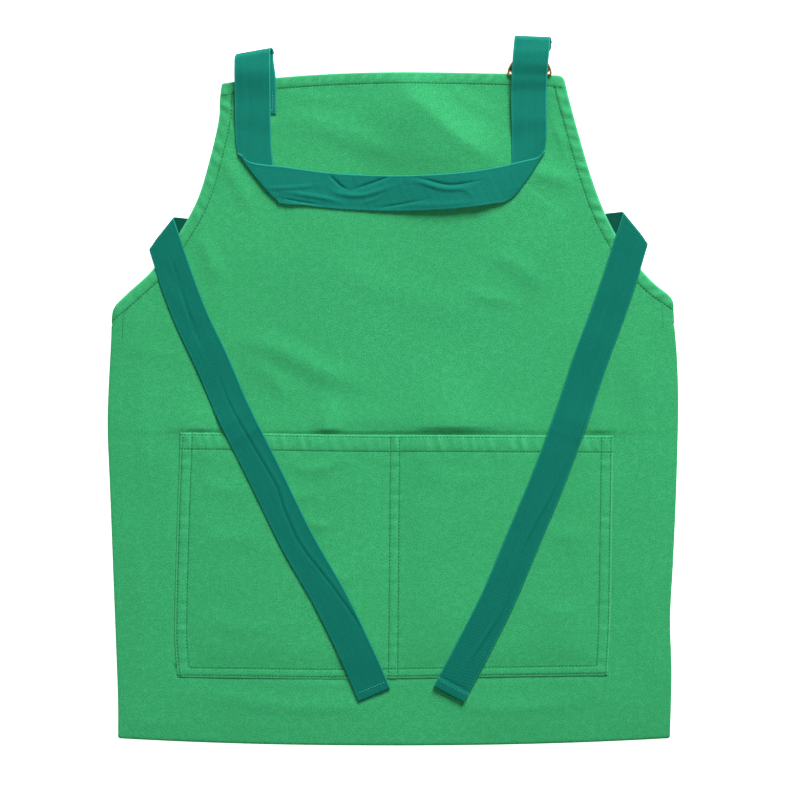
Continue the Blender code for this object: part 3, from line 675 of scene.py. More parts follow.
def body_grid():
    """The cloth's middle surface, laid and folded, with its masks and fields."""
    # Rows crowd at the bib's corners and where the cloth swells against the pocket's mouth
    corner = np.array([0, 0.15, 0.4, 0.8, 1.4, 2.2, 3.2]) * MM
    bib = np.concatenate([BIB_TOP_Y - corner, np.arange(BIB_TOP_Y - 5 * MM, CROWN_Y + 1 * MM, -1.9 * MM)])
    stretches = ((CROWN_Y, -0.020, 3.0), (-0.020, -0.042, 0.8), (-0.042, FOLD_Y, 3.0))
    front = np.concatenate([np.arange(start, end, -step * MM) for start, end, step in stretches])
    arc = FOLD_Y - FOLD_RADIUS * math.pi * np.linspace(0, 1, 9)
    flap_length = FLAP_TOP_Y - FOLD_Y
    flap = arc[-1] - np.arange(5 * MM, flap_length - HEM, 6 * MM)
    flap_hem = arc[-1] - flap_length + np.array([1.25, 1.0, 0.75, 0.5, 0.25, 0.0]) * HEM
    v = np.concatenate([bib, front, arc, flap[flap > flap_hem[0] + 2 * MM], flap_hem])
    crown_row = len(bib)

    share = np.linspace(0, 1, 175)
    q = FOLD_Y - v
    turn = np.clip(q / FOLD_RADIUS, 0, math.pi)
    # Where each row lies once the lower part is folded up
    laid = np.where(q <= 0, v, FOLD_Y + np.maximum(q - math.pi * FOLD_RADIUS, 0))
    top_pull = step_up(v - BIB_DRAWN_Y, BIB_TOP_Y - BIB_DRAWN_Y)
    narrower = 1 - 0.008 * step_up(turn, math.pi)
    left = edge_x(LEFT_EDGE, laid - BIB_LEFT_DROP * top_pull) * narrower + SIDE_FOLD_RADIUS
    right = edge_x(RIGHT_EDGE, laid - BIB_RIGHT_DROP * top_pull) * narrower - SIDE_FOLD_RADIUS
    left_round, right_round = [
        radius * (1 - np.sqrt(1 - np.clip(1 - (BIB_TOP_Y - v) / radius, 0, 1) ** 2))
        for radius in BIB_CORNER_RADII
    ]
    left[:crown_row] += left_round[:crown_row] - SIDE_FOLD_RADIUS
    right[:crown_row] += SIDE_FOLD_RADIUS - right_round[:crown_row]
    x = left[:, None] + share[None, :] * (right - left)[:, None]
    vv = np.repeat(v[:, None], len(share), axis=1)

    # The turned-back sides: columns counted from the fold outwards
    fold_arc = SIDE_FOLD_RADIUS * math.pi
    hem_columns = TURNBACK_DEPTH - np.array([1.3, 1.0, 0.75, 0.5, 0.25, 0.0]) * HEM
    depth = np.concatenate([fold_arc * np.linspace(0.16, 1, 6), np.arange(5, 112, 7) * MM, hem_columns])
    crown = CROWN_Y - CROWN_DROP * (depth / TURNBACK_DEPTH) ** 0.8
    squeeze = (crown - CROWN_EASE_Y) / (CROWN_Y - CROWN_EASE_Y)
    side_v = np.where(
        v[:, None] > CROWN_EASE_Y, CROWN_EASE_Y + (v[:, None] - CROWN_EASE_Y) * squeeze, v[:, None]
    )
    bent = np.clip(depth / SIDE_FOLD_RADIUS, 0, math.pi)
    beyond = np.maximum(depth - fold_arc, 0)
    step_in = beyond - SIDE_FOLD_RADIUS * np.sin(bent)
    drop = SIDE_FOLD_RADIUS * (1 - np.cos(bent))
    left_x = left[:, None] + step_in[None, ::-1]
    right_x = right[:, None] - step_in[None, :]

    x = np.hstack([left_x, x, right_x])
    vv = np.hstack([side_v[:, ::-1], vv, side_v])
    drop = np.concatenate([drop[::-1], np.zeros(len(share)), drop])[None, :]
    depth_row = np.concatenate([depth[::-1], np.zeros(len(share)), depth])[None, :]
    is_front = depth_row == 0

    drawn_down = top_drop(x) * step_up(vv - BIB_DRAWN_Y, BIB_TOP_Y - BIB_DRAWN_Y)
    distance, place = nearest(HEM_LINE, x, np.where(vv > FOLD_Y, vv - drawn_down, -1))
    crown_distance = np.concatenate([crown[::-1], np.full(len(share), 9.0), crown])[None, :] - vv
    side_distance = TURNBACK_DEPTH - depth_row
    end_distance = vv - v[-1]
    hem_distance = np.where(is_front, distance, np.minimum(crown_distance, side_distance))
    hem_place = np.where(is_front, place, np.where(crown_distance < side_distance, depth_row, vv))
    at_end = (end_distance < hem_distance) & (vv < FOLD_Y)
    hem_distance = np.where(at_end, end_distance, hem_distance)
    hem_place = np.where(at_end, x, hem_place)

    lift, extra = hem_shape(hem_place, hem_distance, pressed_flat(x, vv))
    side_gap = np.minimum(np.abs(x - left[:, None]), np.abs(right[:, None] - x))
    calm = step_up(side_gap, 14 * MM) * step_up(vv - FOLD_Y, 16 * MM) * is_front
    wave = body_wave(x, vv) * calm
    hem_front = is_front & (vv > 0.0)
    z = BODY_MID - drop + np.where(hem_front, lift + wave, wave)
    thickness = CLOTH + np.where(hem_front, extra, 0.0)

    # The fold at the bottom, about its line
    q = FOLD_Y - vv
    radius = z - FOLD_Z
    turn = np.clip(q / FOLD_RADIUS, 0, math.pi)
    past = np.maximum(q - math.pi * FOLD_RADIUS, 0)
    y = np.where(q > 0, FOLD_Y - radius * np.sin(turn) + past, vv)
    z = np.where(q > 0, FOLD_Z + radius * np.cos(turn), z)
    y = y - drawn_down * is_front
    y = y + bottom_bow(x) * step_up(-0.150 - y, 0.145)

    side = np.where(x < 0, left[:, None], right[:, None])
    u = np.where(is_front, x, np.sign(x) * (np.abs(side) + depth_row))
    # Painted highlight: the hem's edge is painted pale, and so are the tops of its puckers
    pucker_highlight = 0.30 * np.clip(hem_pucker(hem_place, hem_distance) + 0.2, 0, 1)
    pucker_highlight = pucker_highlight * bell(hem_distance - 4 * MM, 4 * MM)
    painted_highlight = np.where(is_front & (vv > 0), np.maximum(bell(hem_distance, 1.0 * MM), pucker_highlight), 0)
    keep = np.ones((len(v) - 1, x.shape[1] - 1), bool)
    keep[:crown_row, : len(depth)] = False
    keep[:crown_row, -len(depth):] = False
    grid = np.stack([x, y, z], axis=2)
    return grid, thickness, keep, vector3(u, vv), vector3(hem_place, hem_distance, painted_highlight)


def apron_cloth():
    grid, thickness, keep, weave, seam = body_grid()
    cloth = sheet_piece(
        "apron_cloth", grid, thickness, BODY_TWILL, [("weave", weave), ("seam", seam)], keep
    )
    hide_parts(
        "body_panel", "left_side_turnback", "right_side_turnback", "bottom_flap",
        "bottom_flap_left_turnback", "bottom_flap_right_turnback",
    )
    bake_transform(cloth)
    return cloth


def body_top(x, y):
    """The height of the front face of the laid cloth."""
    distance, place = nearest(HEM_LINE, x, y)
    lift, extra = hem_shape(place, distance, pressed_flat(x, y))
    return BODY_MID + body_wave(x, y) + lift + (CLOTH + extra) / 2


# ---------------------------------------------------------------- the pocket

def pocket_fields(x, y):
    """Distances from the pocket's left, right, foot and mouth edges."""
    left = x - edge_x(POCKET_LEFT_EDGE, y)
    right = edge_x(POCKET_RIGHT_EDGE, y) - x
    mouth = pocket_mouth_y(x) - y
    foot = y - pocket_foot_y(x)
    return left, right, foot, mouth


def pocket_mouth_y(x):
    sag = 2.0 * step_up(x + 0.182, 0.18) + 0.6 * step_up(x - 0.02, 0.16)
    return POCKET_MOUTH_Y - sag * MM


def pocket_foot_y(x):
    return np.interp(x, [-0.185, -0.063, 0.010, 0.184], [-0.2456, -0.2473, -0.2466, -0.2441])


def pocket_middle(y):
    return 1.7 * MM - 1.7 * MM * (POCKET_LEFT_EDGE[0][1] - y) / 0.21


def pocket_gape(x):
    """The mouth stands open a little more in the middle of each pocket."""
    left = bell(x + 0.062, 0.035)
    right = bell(x - 0.052, 0.030)
    return 0.45 + 0.35 * left + 0.45 * right


# Soft folds in the pocket: points, height and width in millimetres
POCKET_RIDGES = [
    ([(-0.092, -0.062), (-0.070, -0.068), (-0.040, -0.060)], 0.80, 5.0),
    ([(-0.096, -0.088), (-0.082, -0.092), (-0.060, -0.086)], 0.60, 4.5),
    ([(-0.078, -0.108), (-0.066, -0.116), (-0.052, -0.114)], 0.80, 4.0),
    ([(-0.060, -0.150), (-0.048, -0.160), (-0.032, -0.160)], 0.45, 4.5),
    ([(-0.170, -0.070), (-0.150, -0.084), (-0.128, -0.086)], 0.55, 6.0),
    ([(-0.165, -0.190), (-0.130, -0.204), (-0.090, -0.200)], 0.55, 8.0),
    ([(-0.165, -0.130), (-0.135, -0.126), (-0.100, -0.140)], 0.40, 8.0),
    ([(0.020, -0.070), (0.055, -0.078), (0.090, -0.070)], 0.45, 7.0),
    ([(0.120, -0.110), (0.145, -0.124), (0.170, -0.120)], 0.50, 7.0),
    ([(0.110, -0.180), (0.140, -0.190), (0.172, -0.182)], 0.45, 8.0),
]


def pocket_shape(x, y):
    """The middle height and the thickness of the pocket at a place."""
    left, right, foot, mouth = pocket_fields(x, y)
    middle = np.abs(x - pocket_middle(y))
    seam = np.minimum(np.minimum(left, right) - POCKET_SIDE_ROWS[1], middle - POCKET_DIVIDER_ROWS[1])
    across = step_up(seam, POCKET_RAMP)
    up = step_up(foot - POCKET_FOOT_ROWS[1], POCKET_RAMP)
    near_mouth = bell(mouth, 16 * MM)
    lift = POCKET_BULGE * across * up * (1 - near_mouth * (1 - pocket_gape(x)))
    side = np.minimum(left, right)
    hem_side = step_up(POCKET_SIDE_ROWS[1] - side, 1.2 * MM)
    hem_foot = step_up(POCKET_FOOT_ROWS[1] - foot, 1.2 * MM)
    hem_mouth = step_up(POCKET_MOUTH_ROWS[1] - mouth, 1.2 * MM)
    puff = hem_mouth * np.sin(math.pi * np.clip(mouth / POCKET_MOUTH_ROWS[1], 0, 1))
    puff = puff + 0.6 * hem_side * np.sin(math.pi * np.clip(side / POCKET_SIDE_ROWS[1], 0, 1))
    pucker = ripple(x + 0.2 * y, (7.3 * MM, 10.1 * MM, 14.9 * MM), 8) * hem_mouth
    pucker = pucker + 0.9 * ripple(y, (8.3 * MM, 12.7 * MM), 9) * bell(side - 6 * MM, 7 * MM)
    pucker = pucker + 0.7 * ripple(x, (9.1 * MM, 13.3 * MM), 10) * bell(foot - 5 * MM, 5 * MM)
    pucker = pucker + 0.9 * ripple(y, (7.7 * MM, 10.9 * MM), 12) * bell(middle, 9 * MM)
    between = bell(middle, 2.4 * MM) - 0.8 * bell(middle - 3.9 * MM, 1.2 * MM)
    below = bell(mouth - 20 * MM, 6 * MM) * (ripple(x, (23 * MM, 37 * MM), 11) + 0.4)
    soft = 0.24 * np.sin(x * 61 + 2 * np.sin(y * 23)) * np.sin(y * 47 + x * 21)
    soft = soft + 0.13 * np.sin(x * 101 - y * 60) * np.sin(y * 113 + 2 * np.sin(x * 40))
    for points, high, width in POCKET_RIDGES:
        soft = soft + high * ridge(x, y, points, width * MM)
    height = POCKET_MID + lift + (0.34 * puff + 0.24 * pucker + 0.30 * below + 0.30 * between) * MM
    height = height + soft * across * up * MM
    # The sewn edges are drawn down onto the body, and the mouth's hem puckers
    settle = step_up(20 * MM - np.minimum(side, foot), 18 * MM) * step_up(mouth, 12 * MM)
    puckers = hem_pucker(1.15 * x, -0.6 * mouth) * step_up(18 * MM - mouth, 8 * MM)
    height = height - 0.55 * settle * MM
    height = height + 0.26 * puckers * MM
    thicker = 0.40 * MM * np.maximum(np.maximum(hem_side, hem_foot), hem_mouth)
    return height + thicker * 0.3, CLOTH + thicker


def pocket():
    p = np.linspace(0, 1, 190)
    q = np.linspace(0, 1, 106)
    y = POCKET_MOUTH_Y + (POCKET_FOOT_Y - POCKET_MOUTH_Y) * q[:, None]
    left, right = edge_x(POCKET_LEFT_EDGE, y), edge_x(POCKET_RIGHT_EDGE, y)
    x = left + (right - left) * p[None, :]
    mouth, foot = pocket_mouth_y(x), pocket_foot_y(x)
    y = mouth + (foot - mouth) * q[:, None]
    z, thickness = pocket_shape(x, y)
    z = np.maximum(z, POCKET_LOW + thickness / 2 - 0.60 * MM)
    left, right, foot, mouth = pocket_fields(x, y)
    edge = np.minimum(np.minimum(left, right), np.minimum(foot, mouth))
    # Painted highlight: a pale line along the pocket's edges, and pale bands on the crests of the hems'
    # puckers
    painted_highlight = bell(edge, 0.9 * MM) * np.where(mouth < 3 * MM, 0.35, 0.65)
    bands = np.clip(hem_pucker(1.15 * x, -0.6 * mouth), -0.2, 1) * step_up(17 * MM - mouth, 6 * MM)
    side_bands = np.clip(hem_pucker(y, 0), 0, 1) * step_up(12 * MM - np.minimum(left, right), 4 * MM)
    middle_bands = np.clip(hem_pucker(y + 0.03, 0), 0, 1) * bell(x - pocket_middle(y), 7 * MM)
    painted_highlight = np.maximum(painted_highlight, 0.42 * np.maximum(np.maximum(bands, 0.7 * side_bands), 0.6 * middle_bands))
    # An inner row stops where it meets the next one
    below = np.where(foot < POCKET_FOOT_ROWS[1] - 0.5 * MM, 1.0, 0)
    stops = (np.minimum(left, right) < POCKET_SIDE_ROWS[1] - 0.5 * MM) & (foot > 5 * MM)
    fields = [
        ("weave", vector3(x, y)),
        ("seam", vector3(x, edge, painted_highlight)),
        ("sides", vector3(left + below * (left > 5 * MM), right + below * (right > 5 * MM), y)),
        ("ends", vector3(foot + stops, mouth, x)),
        ("middle", vector3(x - pocket_middle(y), y)),
    ]
    panel = sheet_piece("pocket_cloth", np.stack([x, y, z], axis=2), thickness, POCKET_TWILL, fields)
    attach(panel, "apron")
    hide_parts("pocket_panel")
    return panel


def pocket_top(x, y):
    height, thickness = pocket_shape(x, y)
    return height + thickness / 2


# ---------------------------------------------------------------- webbing

def crossing(centre, travel, crease, width, normal=UP):
    """A station over the strip's whole width, parallel to the crease: two edge points and a normal."""
    across = Vector((-travel.y, travel.x, 0)).normalized()
    reach = crease * (width / 2 / crease.dot(across))
    return centre + reach, centre - reach, normal


def over_body(left, right):
    """How much higher than its usual height a strip lies on the body's folds, from its edge points."""
    share = np.linspace(0, 1, 7)[None, :, None]
    points = left[:, None] * (1 - share) + right[:, None] * share
    wave = body_wave(points[..., 0], points[..., 1])
    lift = np.maximum(wave - 0.35 * MM, 0) * step_up(points[..., 1] + 0.037, 6 * MM)
    lift = lift.max(axis=1)
    for _ in range(3):
        lift = np.maximum(lift, np.convolve(np.pad(lift, 2, mode="edge"), np.ones(5) / 5, "valid"))
    return lift


def run(path, height, width, first_crease=None, last_crease=None, ease=0.045, on_body=False):
    """Stations along a flat run: parallel to a crease at its ends, square to the path between them."""
    stations = []
    lengths = along(path)
    points = [Vector((x, y, 0)) for x, y in path]
    for k, point in enumerate(points):
        travel = (points[min(k + 1, len(points) - 1)] - points[max(k - 1, 0)]).normalized()
        across = Vector((-travel.y, travel.x, 0))
        slip = 0.0
        for end, distance in ((first_crease, lengths[k]), (last_crease, lengths[-1] - lengths[k])):
            if end is not None:
                slip += end.dot(travel) / end.dot(across) * max(0.0, 1 - distance / ease)
        left, right, normal = crossing(point, travel, (across + travel * slip).normalized(), width)
        left.z = float(height(left.x, left.y))
        right.z = float(height(right.x, right.y))
        stations.append((left, right, normal))
    if on_body:
        lifts = over_body(np.array([s[0] for s in stations]), np.array([s[1] for s in stations]))
        # The ends stay where the folds and loops begin
        lifts = lifts * step_up(lengths, 20 * MM) * step_up(lengths[-1] - lengths, 20 * MM)
        stations = [(a + UP * float(h), b + UP * float(h), n) for (a, b, n), h in zip(stations, lifts)]
    return stations


def joined(last, stations, reach=25 * MM):
    """The stations after the first, each edge eased away from where the last one left it."""
    first = stations[0][:2]
    if (last[0] - first[0]).length > (last[0] - first[1]).length:
        last = (last[1], last[0])
    eased = []
    for left, right, normal in stations[1:]:
        edges = [
            edge + (end - start) * (1 - float(step_up((edge - start).length, reach)))
            for edge, end, start in zip((left, right), last, first)
        ]
        eased.append((*edges, normal))
    return eased


def hooked(stations, amount):
    """A run whose upper edge sags in beside the fold at its start, or at its end if amount is below 0."""
    ends = stations[0 if amount > 0 else -1][:2]
    corner = max(ends, key=lambda point: point.y)
    sagged = []
    for left, right, normal in stations:
        upper = left if left.y > right.y else right
        near = (upper - corner).length / (9 * MM)
        sag = Vector((0, -abs(amount) * near * math.exp(1 - near), 0))
        sagged.append((left + sag, right, normal) if upper is left else (left, right + sag, normal))
    return sagged


def fold_arc(centre, travel, crease, radius, rise, width, steps=12):
    """Stations round a crease from the given centre, and where the strip comes out on the other side."""
    away = travel - crease * travel.dot(crease)
    slip = travel.dot(crease) / away.length
    away.normalize()
    reach = crease * (width / 2 / math.sqrt(1 - travel.dot(crease) ** 2))
    stations = []
    for k in range(steps + 1):
        turn = math.pi * k / steps
        here = centre + crease * (radius * turn * slip) + away * (radius * math.sin(turn))
        here = here + UP * (rise * radius * (1 - math.cos(turn)))
        normal = UP * math.cos(turn) - away * (rise * math.sin(turn))
        stations.append((here + reach, here - reach, normal))
    return stations, here, crease * travel.dot(crease) - away * travel.dot(away)


def aligned(stations):
    """The stations with their edges and normals kept on the same sides all along."""
    result = [stations[0]]
    for left, right, normal in stations[1:]:
        last_left, _, last_normal = result[-1]
        if (left - last_left).length > (right - last_left).length:
            left, right = right, left
        if normal.dot(last_normal) < 0:
            normal = -normal
        result.append((left, right, normal))
    return result


def heading(degrees):
    """A flat direction, counted from +X towards +Y."""
    return Vector((math.cos(math.radians(degrees)), math.sin(math.radians(degrees)), 0))


def bowed(grid, bows):
    """The grid with its folds bowed outwards; a bow is (centre, crease, outward, half length, amount)."""
    for centre, crease, outward, half, amount in bows:
        away = grid[..., :2] - np.array(centre[:2])
        t = away @ np.array(crease[:2]) / half
        s = away @ np.array(outward[:2])
        push = amount * np.clip(1 - t ** 2, 0, 1) * bell(s, min(half, 13 * MM))
        grid[..., :2] += push[..., None] * np.array(outward[:2])
    return grid


# How each loop lies: its middle, where its slant begins, the slant, and where, over what length
# and how far its upper ply slopes down towards the loop's end
LEFT_SLANT = (LEFT_LOOP.x, 0.262, 0.125, 0.266, 0.026, 3.0 * MM)
RIGHT_SLANT = (RIGHT_LOOP.x, 0.266, -0.095, 0.288, 0.012, 2.2 * MM)
# The under ply of each loop lies a little further right than the upper one
LEFT_SET_OFF = 2.6 * MM
RIGHT_SET_OFF = 1.3 * MM


def ribbon(name, stations, shape=None, columns=15, material=LIT_NECK_WEBBING, bows=(), slants=()):
    """A strip of webbing along its stations.

    shape(x, y, rightwards, upwards) lifts it along its normal; rightwards and upwards say how far
    across the strip a point lies, from -1 to 1, towards +X and towards +Y.
    """
    stations = aligned(stations)
    left = np.array([s[0] for s in stations])
    right = np.array([s[1] for s in stations])
    normal = np.array([s[2] for s in stations])
    # Columns crowd towards the edges, where the selvedge rolls
    even = np.linspace(-1, 1, columns)
    across = 0.55 * even + 0.45 * np.sin(even * math.pi / 2)
    share = (across + 1) / 2
    grid = left[:, None] + (right - left)[:, None] * share[None, :, None]
    centre = (left + right) / 2
    u = along(centre)
    width = np.linalg.norm(right - left, axis=1)
    slant = np.einsum("ij,ij->i", right - left, np.gradient(centre, axis=0))
    slant = slant / np.maximum(np.linalg.norm(np.gradient(centre, axis=0), axis=1), 1e-9) / width
    uu = u[:, None] + (slant * width / 2)[:, None] * across[None, :]
    half = STRAP_WIDTH / 2
    curl = -0.06 * MM * across[None, :] ** 4 * np.sign(normal[:, 2:3])
    rise = np.broadcast_to(curl, uu.shape).copy()
    if shape is not None:
        span = right - left
        rightwards = np.sign(span[:, :1]) * across[None, :]
        upwards = np.sign(span[:, 1:2]) * across[None, :]
        rise = rise + shape(grid[..., 0], grid[..., 1], rightwards, upwards) * np.sign(normal[:, 2:3])
    grid = bowed(grid + normal[:, None] * rise[..., None], bows)
    for middle_x, from_y, slope, sag_y, sag_length, sag in slants:
        near = step_up(0.05 - np.abs(grid[..., 0] - middle_x), 0.01)
        near = near * step_up(grid[..., 1] - from_y, 0.02)
        grid[..., 1] += slope * (grid[..., 0] - middle_x) * near
        upper = step_up(grid[..., 2] - LEFT_LOOP.z + 1 * MM, 3 * MM) * near
        grid[..., 2] -= sag * upper * step_up(grid[..., 1] - sag_y, sag_length)
    weave = vector3(uu, half * across[None, :], across[None, :])
    bead = WEBBING * (1 + 0.22 * bell(np.abs(across) - 0.95, 0.05))
    # Painted shade: the stretches behind the bib are painted darker
    behind_shade = step_up(BODY_TOP - grid[..., 2], 0.8 * MM)
    fields = [("weave", weave), ("behind_shade", vector3(behind_shade, 0))]
    piece = sheet_piece(name, grid, np.broadcast_to(bead, uu.shape), material, fields)
    return piece, float(u[-1])


def blend_heights(*stops):
    """A height that eases from stop to stop along Y; each stop is (y, height), from low y to high y."""
    ys = np.array([y for y, _ in stops])
    zs = np.array([z for _, z in stops])

    def height(x, y):
        k = np.clip(np.searchsorted(ys, y) - 1, 0, len(ys) - 2)
        return zs[k] + (zs[k + 1] - zs[k]) * step_up(y - ys[k], ys[k + 1] - ys[k])
    return height


NECK_LOW = STRAP_MID
NECK_HIGH = NECK_LOW + WEBBING + 0.3 * MM
NECK_TOP = LEFT_LOOP.z + LOOP_RADIUS

# Creases and ridges across the strap's flat run: points, height (below 0 for a crease), width
NECK_CREASES = [
    ([(-0.0560, 0.1860), (-0.0450, 0.1755), (-0.0372, 0.1712)], -1.25, 1.15),
    ([(-0.0372, 0.1712), (-0.0200, 0.1770), (0.0020, 0.1850)], -1.25, 1.2),
    ([(-0.0560, 0.1750), (-0.0470, 0.1690), (-0.0250, 0.1675), (0.0050, 0.1770)], 1.10, 2.0),
    ([(-0.1150, 0.1740), (-0.0900, 0.1735), (-0.0600, 0.1765)], 0.65, 1.7),
    ([(-0.0950, 0.1700), (-0.0650, 0.1660), (-0.0400, 0.1600)], 0.85, 1.8),
    ([(-0.1010, 0.1640), (-0.0830, 0.1620), (-0.0600, 0.1590)], -0.80, 1.1),
    ([(-0.0150, 0.1560), (0.0100, 0.1600), (0.0300, 0.1640)], -0.80, 1.2),
    ([(0.0180, 0.1825), (0.0300, 0.1800), (0.0500, 0.1760), (0.0760, 0.1800)], -1.25, 1.15),
    ([(0.0140, 0.1790), (0.0260, 0.1775), (0.0450, 0.1725), (0.0700, 0.1740)], 1.00, 1.8),
    ([(0.0560, 0.1730), (0.0660, 0.1690), (0.0640, 0.1640)], 0.45, 1.7),
    ([(0.0000, 0.1590), (0.0400, 0.1590), (0.0800, 0.1620)], 0.45, 2.4),
    ([(-0.0300, 0.1600), (-0.0150, 0.1640), (-0.0050, 0.1700)], 0.40, 1.6),
]


def neck_wrinkles(x, y, rightwards, upwards):
    rise = np.zeros_like(x)
    flat_run = step_up(0.200 - y, 0.02)
    for points, height, width in NECK_CREASES:
        rise = rise + height * MM * ridge(x, y, points, width * MM)
    # No crease is deeper than the strap's height over the bib
    small = 0.10 * MM * ripple(x + 0.5 * y, (7.1 * MM, 11.3 * MM, 17.9 * MM), 31)
    rise = (np.maximum(rise, -1.05 * MM) + small) * flat_run
    middle = bell(x, 0.075) * flat_run
    # The middle of the run is tilted a little: its upper edge stands off the bib
    rise = rise + middle * (0.55 + 0.45 * upwards) * MM
    # The uprights are hollowed slightly by rubbing, and each has a soft long crease
    upright = step_up(y - 0.200, 0.02) * step_up(0.275 - y, 0.02)
    crease = bell(rightwards + 0.25 - 2.5 * (y - 0.24), 0.16) * np.sign(x + 0.01)
    return rise + upright * (0.16 * crease - 0.10 * (1 - rightwards ** 2)) * MM


def neck_strap():
    """The U of the neck strap, from under its left loop to under its right loop."""
    left_angle, right_angle = -51.5, 55.3
    left_crease, right_crease = heading(left_angle), heading(right_angle)
    left_fold, right_fold = (-0.1165, 0.1838), (0.1153, 0.1850)

    def loop(centre, set_off):
        start = Vector((centre.x, centre.y, NECK_TOP))
        arc = fold_arc(start, heading(90), LOOP_AXIS, LOOP_RADIUS, -1, STRAP_WIDTH, 16)[0]
        moved = []
        for k, (left, right, normal) in enumerate(arc):
            shift = Vector((set_off * float(step_up(k, 16)), 0, 0))
            moved.append((left + shift, right + shift, normal))
        return moved

    left_path = through([LEFT_LOOP[:2], (-0.1203, 0.2500), (-0.1196, 0.2150), left_fold])
    left_height = blend_heights(
        (0.180, NECK_LOW), (0.215, NECK_LOW), (0.242, NECK_HIGH + 0.5 * MM),
        (LEFT_LOOP.y - 1 * MM, NECK_TOP), (0.320, NECK_TOP),
    )
    stations = list(reversed(loop(LEFT_LOOP, LEFT_SET_OFF)))
    stations += run(left_path, left_height, STRAP_WIDTH, LOOP_AXIS, left_crease, on_body=True)[1:]
    travel = Vector((*(left_path[-1] - left_path[-2]), 0)).normalized()
    radius = (NECK_HIGH - NECK_LOW) / 2
    low_fold = Vector((*left_path[-1], NECK_LOW))
    turn, centre, _ = fold_arc(low_fold, travel, left_crease, radius, 1, STRAP_WIDTH)
    stations += turn[1:]
    across = [centre[:2], (-0.0800, 0.1748), (-0.0450, 0.1707), (0.0060, 0.1690),
              (0.0550, 0.1712), (0.0900, 0.1765), right_fold]

    def across_height(x, y):
        return NECK_LOW + (NECK_HIGH - NECK_LOW) * step_up(abs(x) - 0.06, 0.03)

    path = through(across, 1.1 * MM)
    across_run = run(path, across_height, STRAP_WIDTH, left_crease, right_crease, on_body=True)
    stations += hooked(hooked(joined(stations[-1], across_run), 4.2 * MM), -3.6 * MM)
    travel = Vector((*(path[-1] - path[-2]), 0)).normalized()
    high_fold = Vector((*right_fold, NECK_HIGH))
    turn, centre, _ = fold_arc(high_fold, travel, right_crease, radius, -1, STRAP_WIDTH)
    stations += turn[1:]
    up_path = through([centre[:2], (0.1170, 0.2150), (0.1163, 0.2500), (0.1172, 0.2760), RIGHT_LOOP[:2]])
    up_height = blend_heights(
        (0.180, NECK_LOW), (0.212, NECK_LOW), (0.236, 8.2 * MM), (0.255, 8.4 * MM), (0.268, 10.6 * MM),
        (0.281, NECK_TOP), (0.320, NECK_TOP),
    )
    up_run = run(up_path, up_height, STRAP_WIDTH, right_crease, LOOP_AXIS, on_body=True)
    stations += joined(stations[-1], up_run)
    stations += loop(RIGHT_LOOP, RIGHT_SET_OFF)[1:]
    # Both folds are soft: their edges bow outwards, and their corners are round
    bows = [
        (left_fold, left_crease, heading(left_angle - 90), 26 * MM, 0.9 * MM),
        (right_fold, right_crease, heading(right_angle - 90), 26 * MM, 1.4 * MM),
        ((-0.0965, 0.1590), heading(-38), heading(-128), 13 * MM, -1.1 * MM),
        ((-0.1335, 0.2045), heading(38), heading(128), 12 * MM, -0.9 * MM),
        ((0.1312, 0.2045), heading(146), heading(56), 10 * MM, -1.9 * MM),
        ((0.1011, 0.1624), heading(18), heading(-72), 7 * MM, -0.4 * MM),
    ]
    slants = (LEFT_SLANT, RIGHT_SLANT)
    strap, length = ribbon("neck_strap_webbing", stations, neck_wrinkles, 47, bows=bows, slants=slants)
    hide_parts("neck_strap")
    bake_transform(strap)
    return strap


def profile_stations(profile, half, x=None):
    """Stations of a strip at full width from (y, z) points of its side view."""
    x = FRONT_BAR.x if x is None else x
    points = [Vector((x, y, z)) for y, z in profile]
    stations = []
    for k, point in enumerate(points):
        step = points[min(k + 1, len(points) - 1)] - points[max(k - 1, 0)]
        normal = Vector((0, -step.z, step.y)).normalized()
        side = Vector((half, 0, 0))
        stations.append((point - side, point + side, normal))
    return stations


def smooth_profile(points):
    return [tuple(point) for point in through(points, 1.2 * MM)]


def arc_profile(y, z, radius, start, end, steps):
    """(y, z) points of an arc, its angles counted from +Y towards +Z in degrees."""
    angles = np.radians(np.linspace(start, end, steps + 1))
    return [(y + radius * math.cos(a), z + radius * math.sin(a)) for a in angles]


def sewn_end():
    """The strap's end, sewn on the bib, up to under the left loop."""
    low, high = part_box("neck_strap_sewn_end")
    z = (low[2] + high[2]) / 2
    loop_z = LEFT_LOOP.z - LOOP_RADIUS
    lowest_y = low[1] + 0.2 * MM
    centre_low = high[0] - STRAP_WIDTH / 2
    points = smooth_profile(
        [(lowest_y, z + 0.15 * MM), (0.2500, z + 0.15 * MM), (0.2560, z + 0.4 * MM), (0.2650, z + 0.5 * MM),
         (0.2720, z + 0.2 * MM), (0.2800, loop_z + 0.3 * MM), (LEFT_LOOP.y + 0.3 * MM, loop_z)]
    )
    stations = []
    for left, right, normal in profile_stations(points, STRAP_WIDTH / 2, centre_low):
        across = centre_low - LEFT_LOOP.x - LEFT_SET_OFF
        drift = Vector((-1, 0, 0)) * across * float(step_up(left.y - 0.262, 0.024))
        stations.append((left + drift, right + drift, normal))

    def rough(x, y, rightwards, upwards):
        return 0.12 * MM * ripple(y, (5.1 * MM, 7.9 * MM), 21) * bell(np.abs(rightwards) - 0.9, 0.25)

    piece, length = ribbon("neck_strap_end_webbing", stations, rough, slants=(LEFT_SLANT,))
    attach(piece, "apron")
    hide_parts("neck_strap_sewn_end")
    return z + WEBBING / 2 + 0.15 * MM


TAB_RADIUS = 1.85 * MM
CINCH_Y = 0.2815
CINCHED_HALF = 12.8 * MM


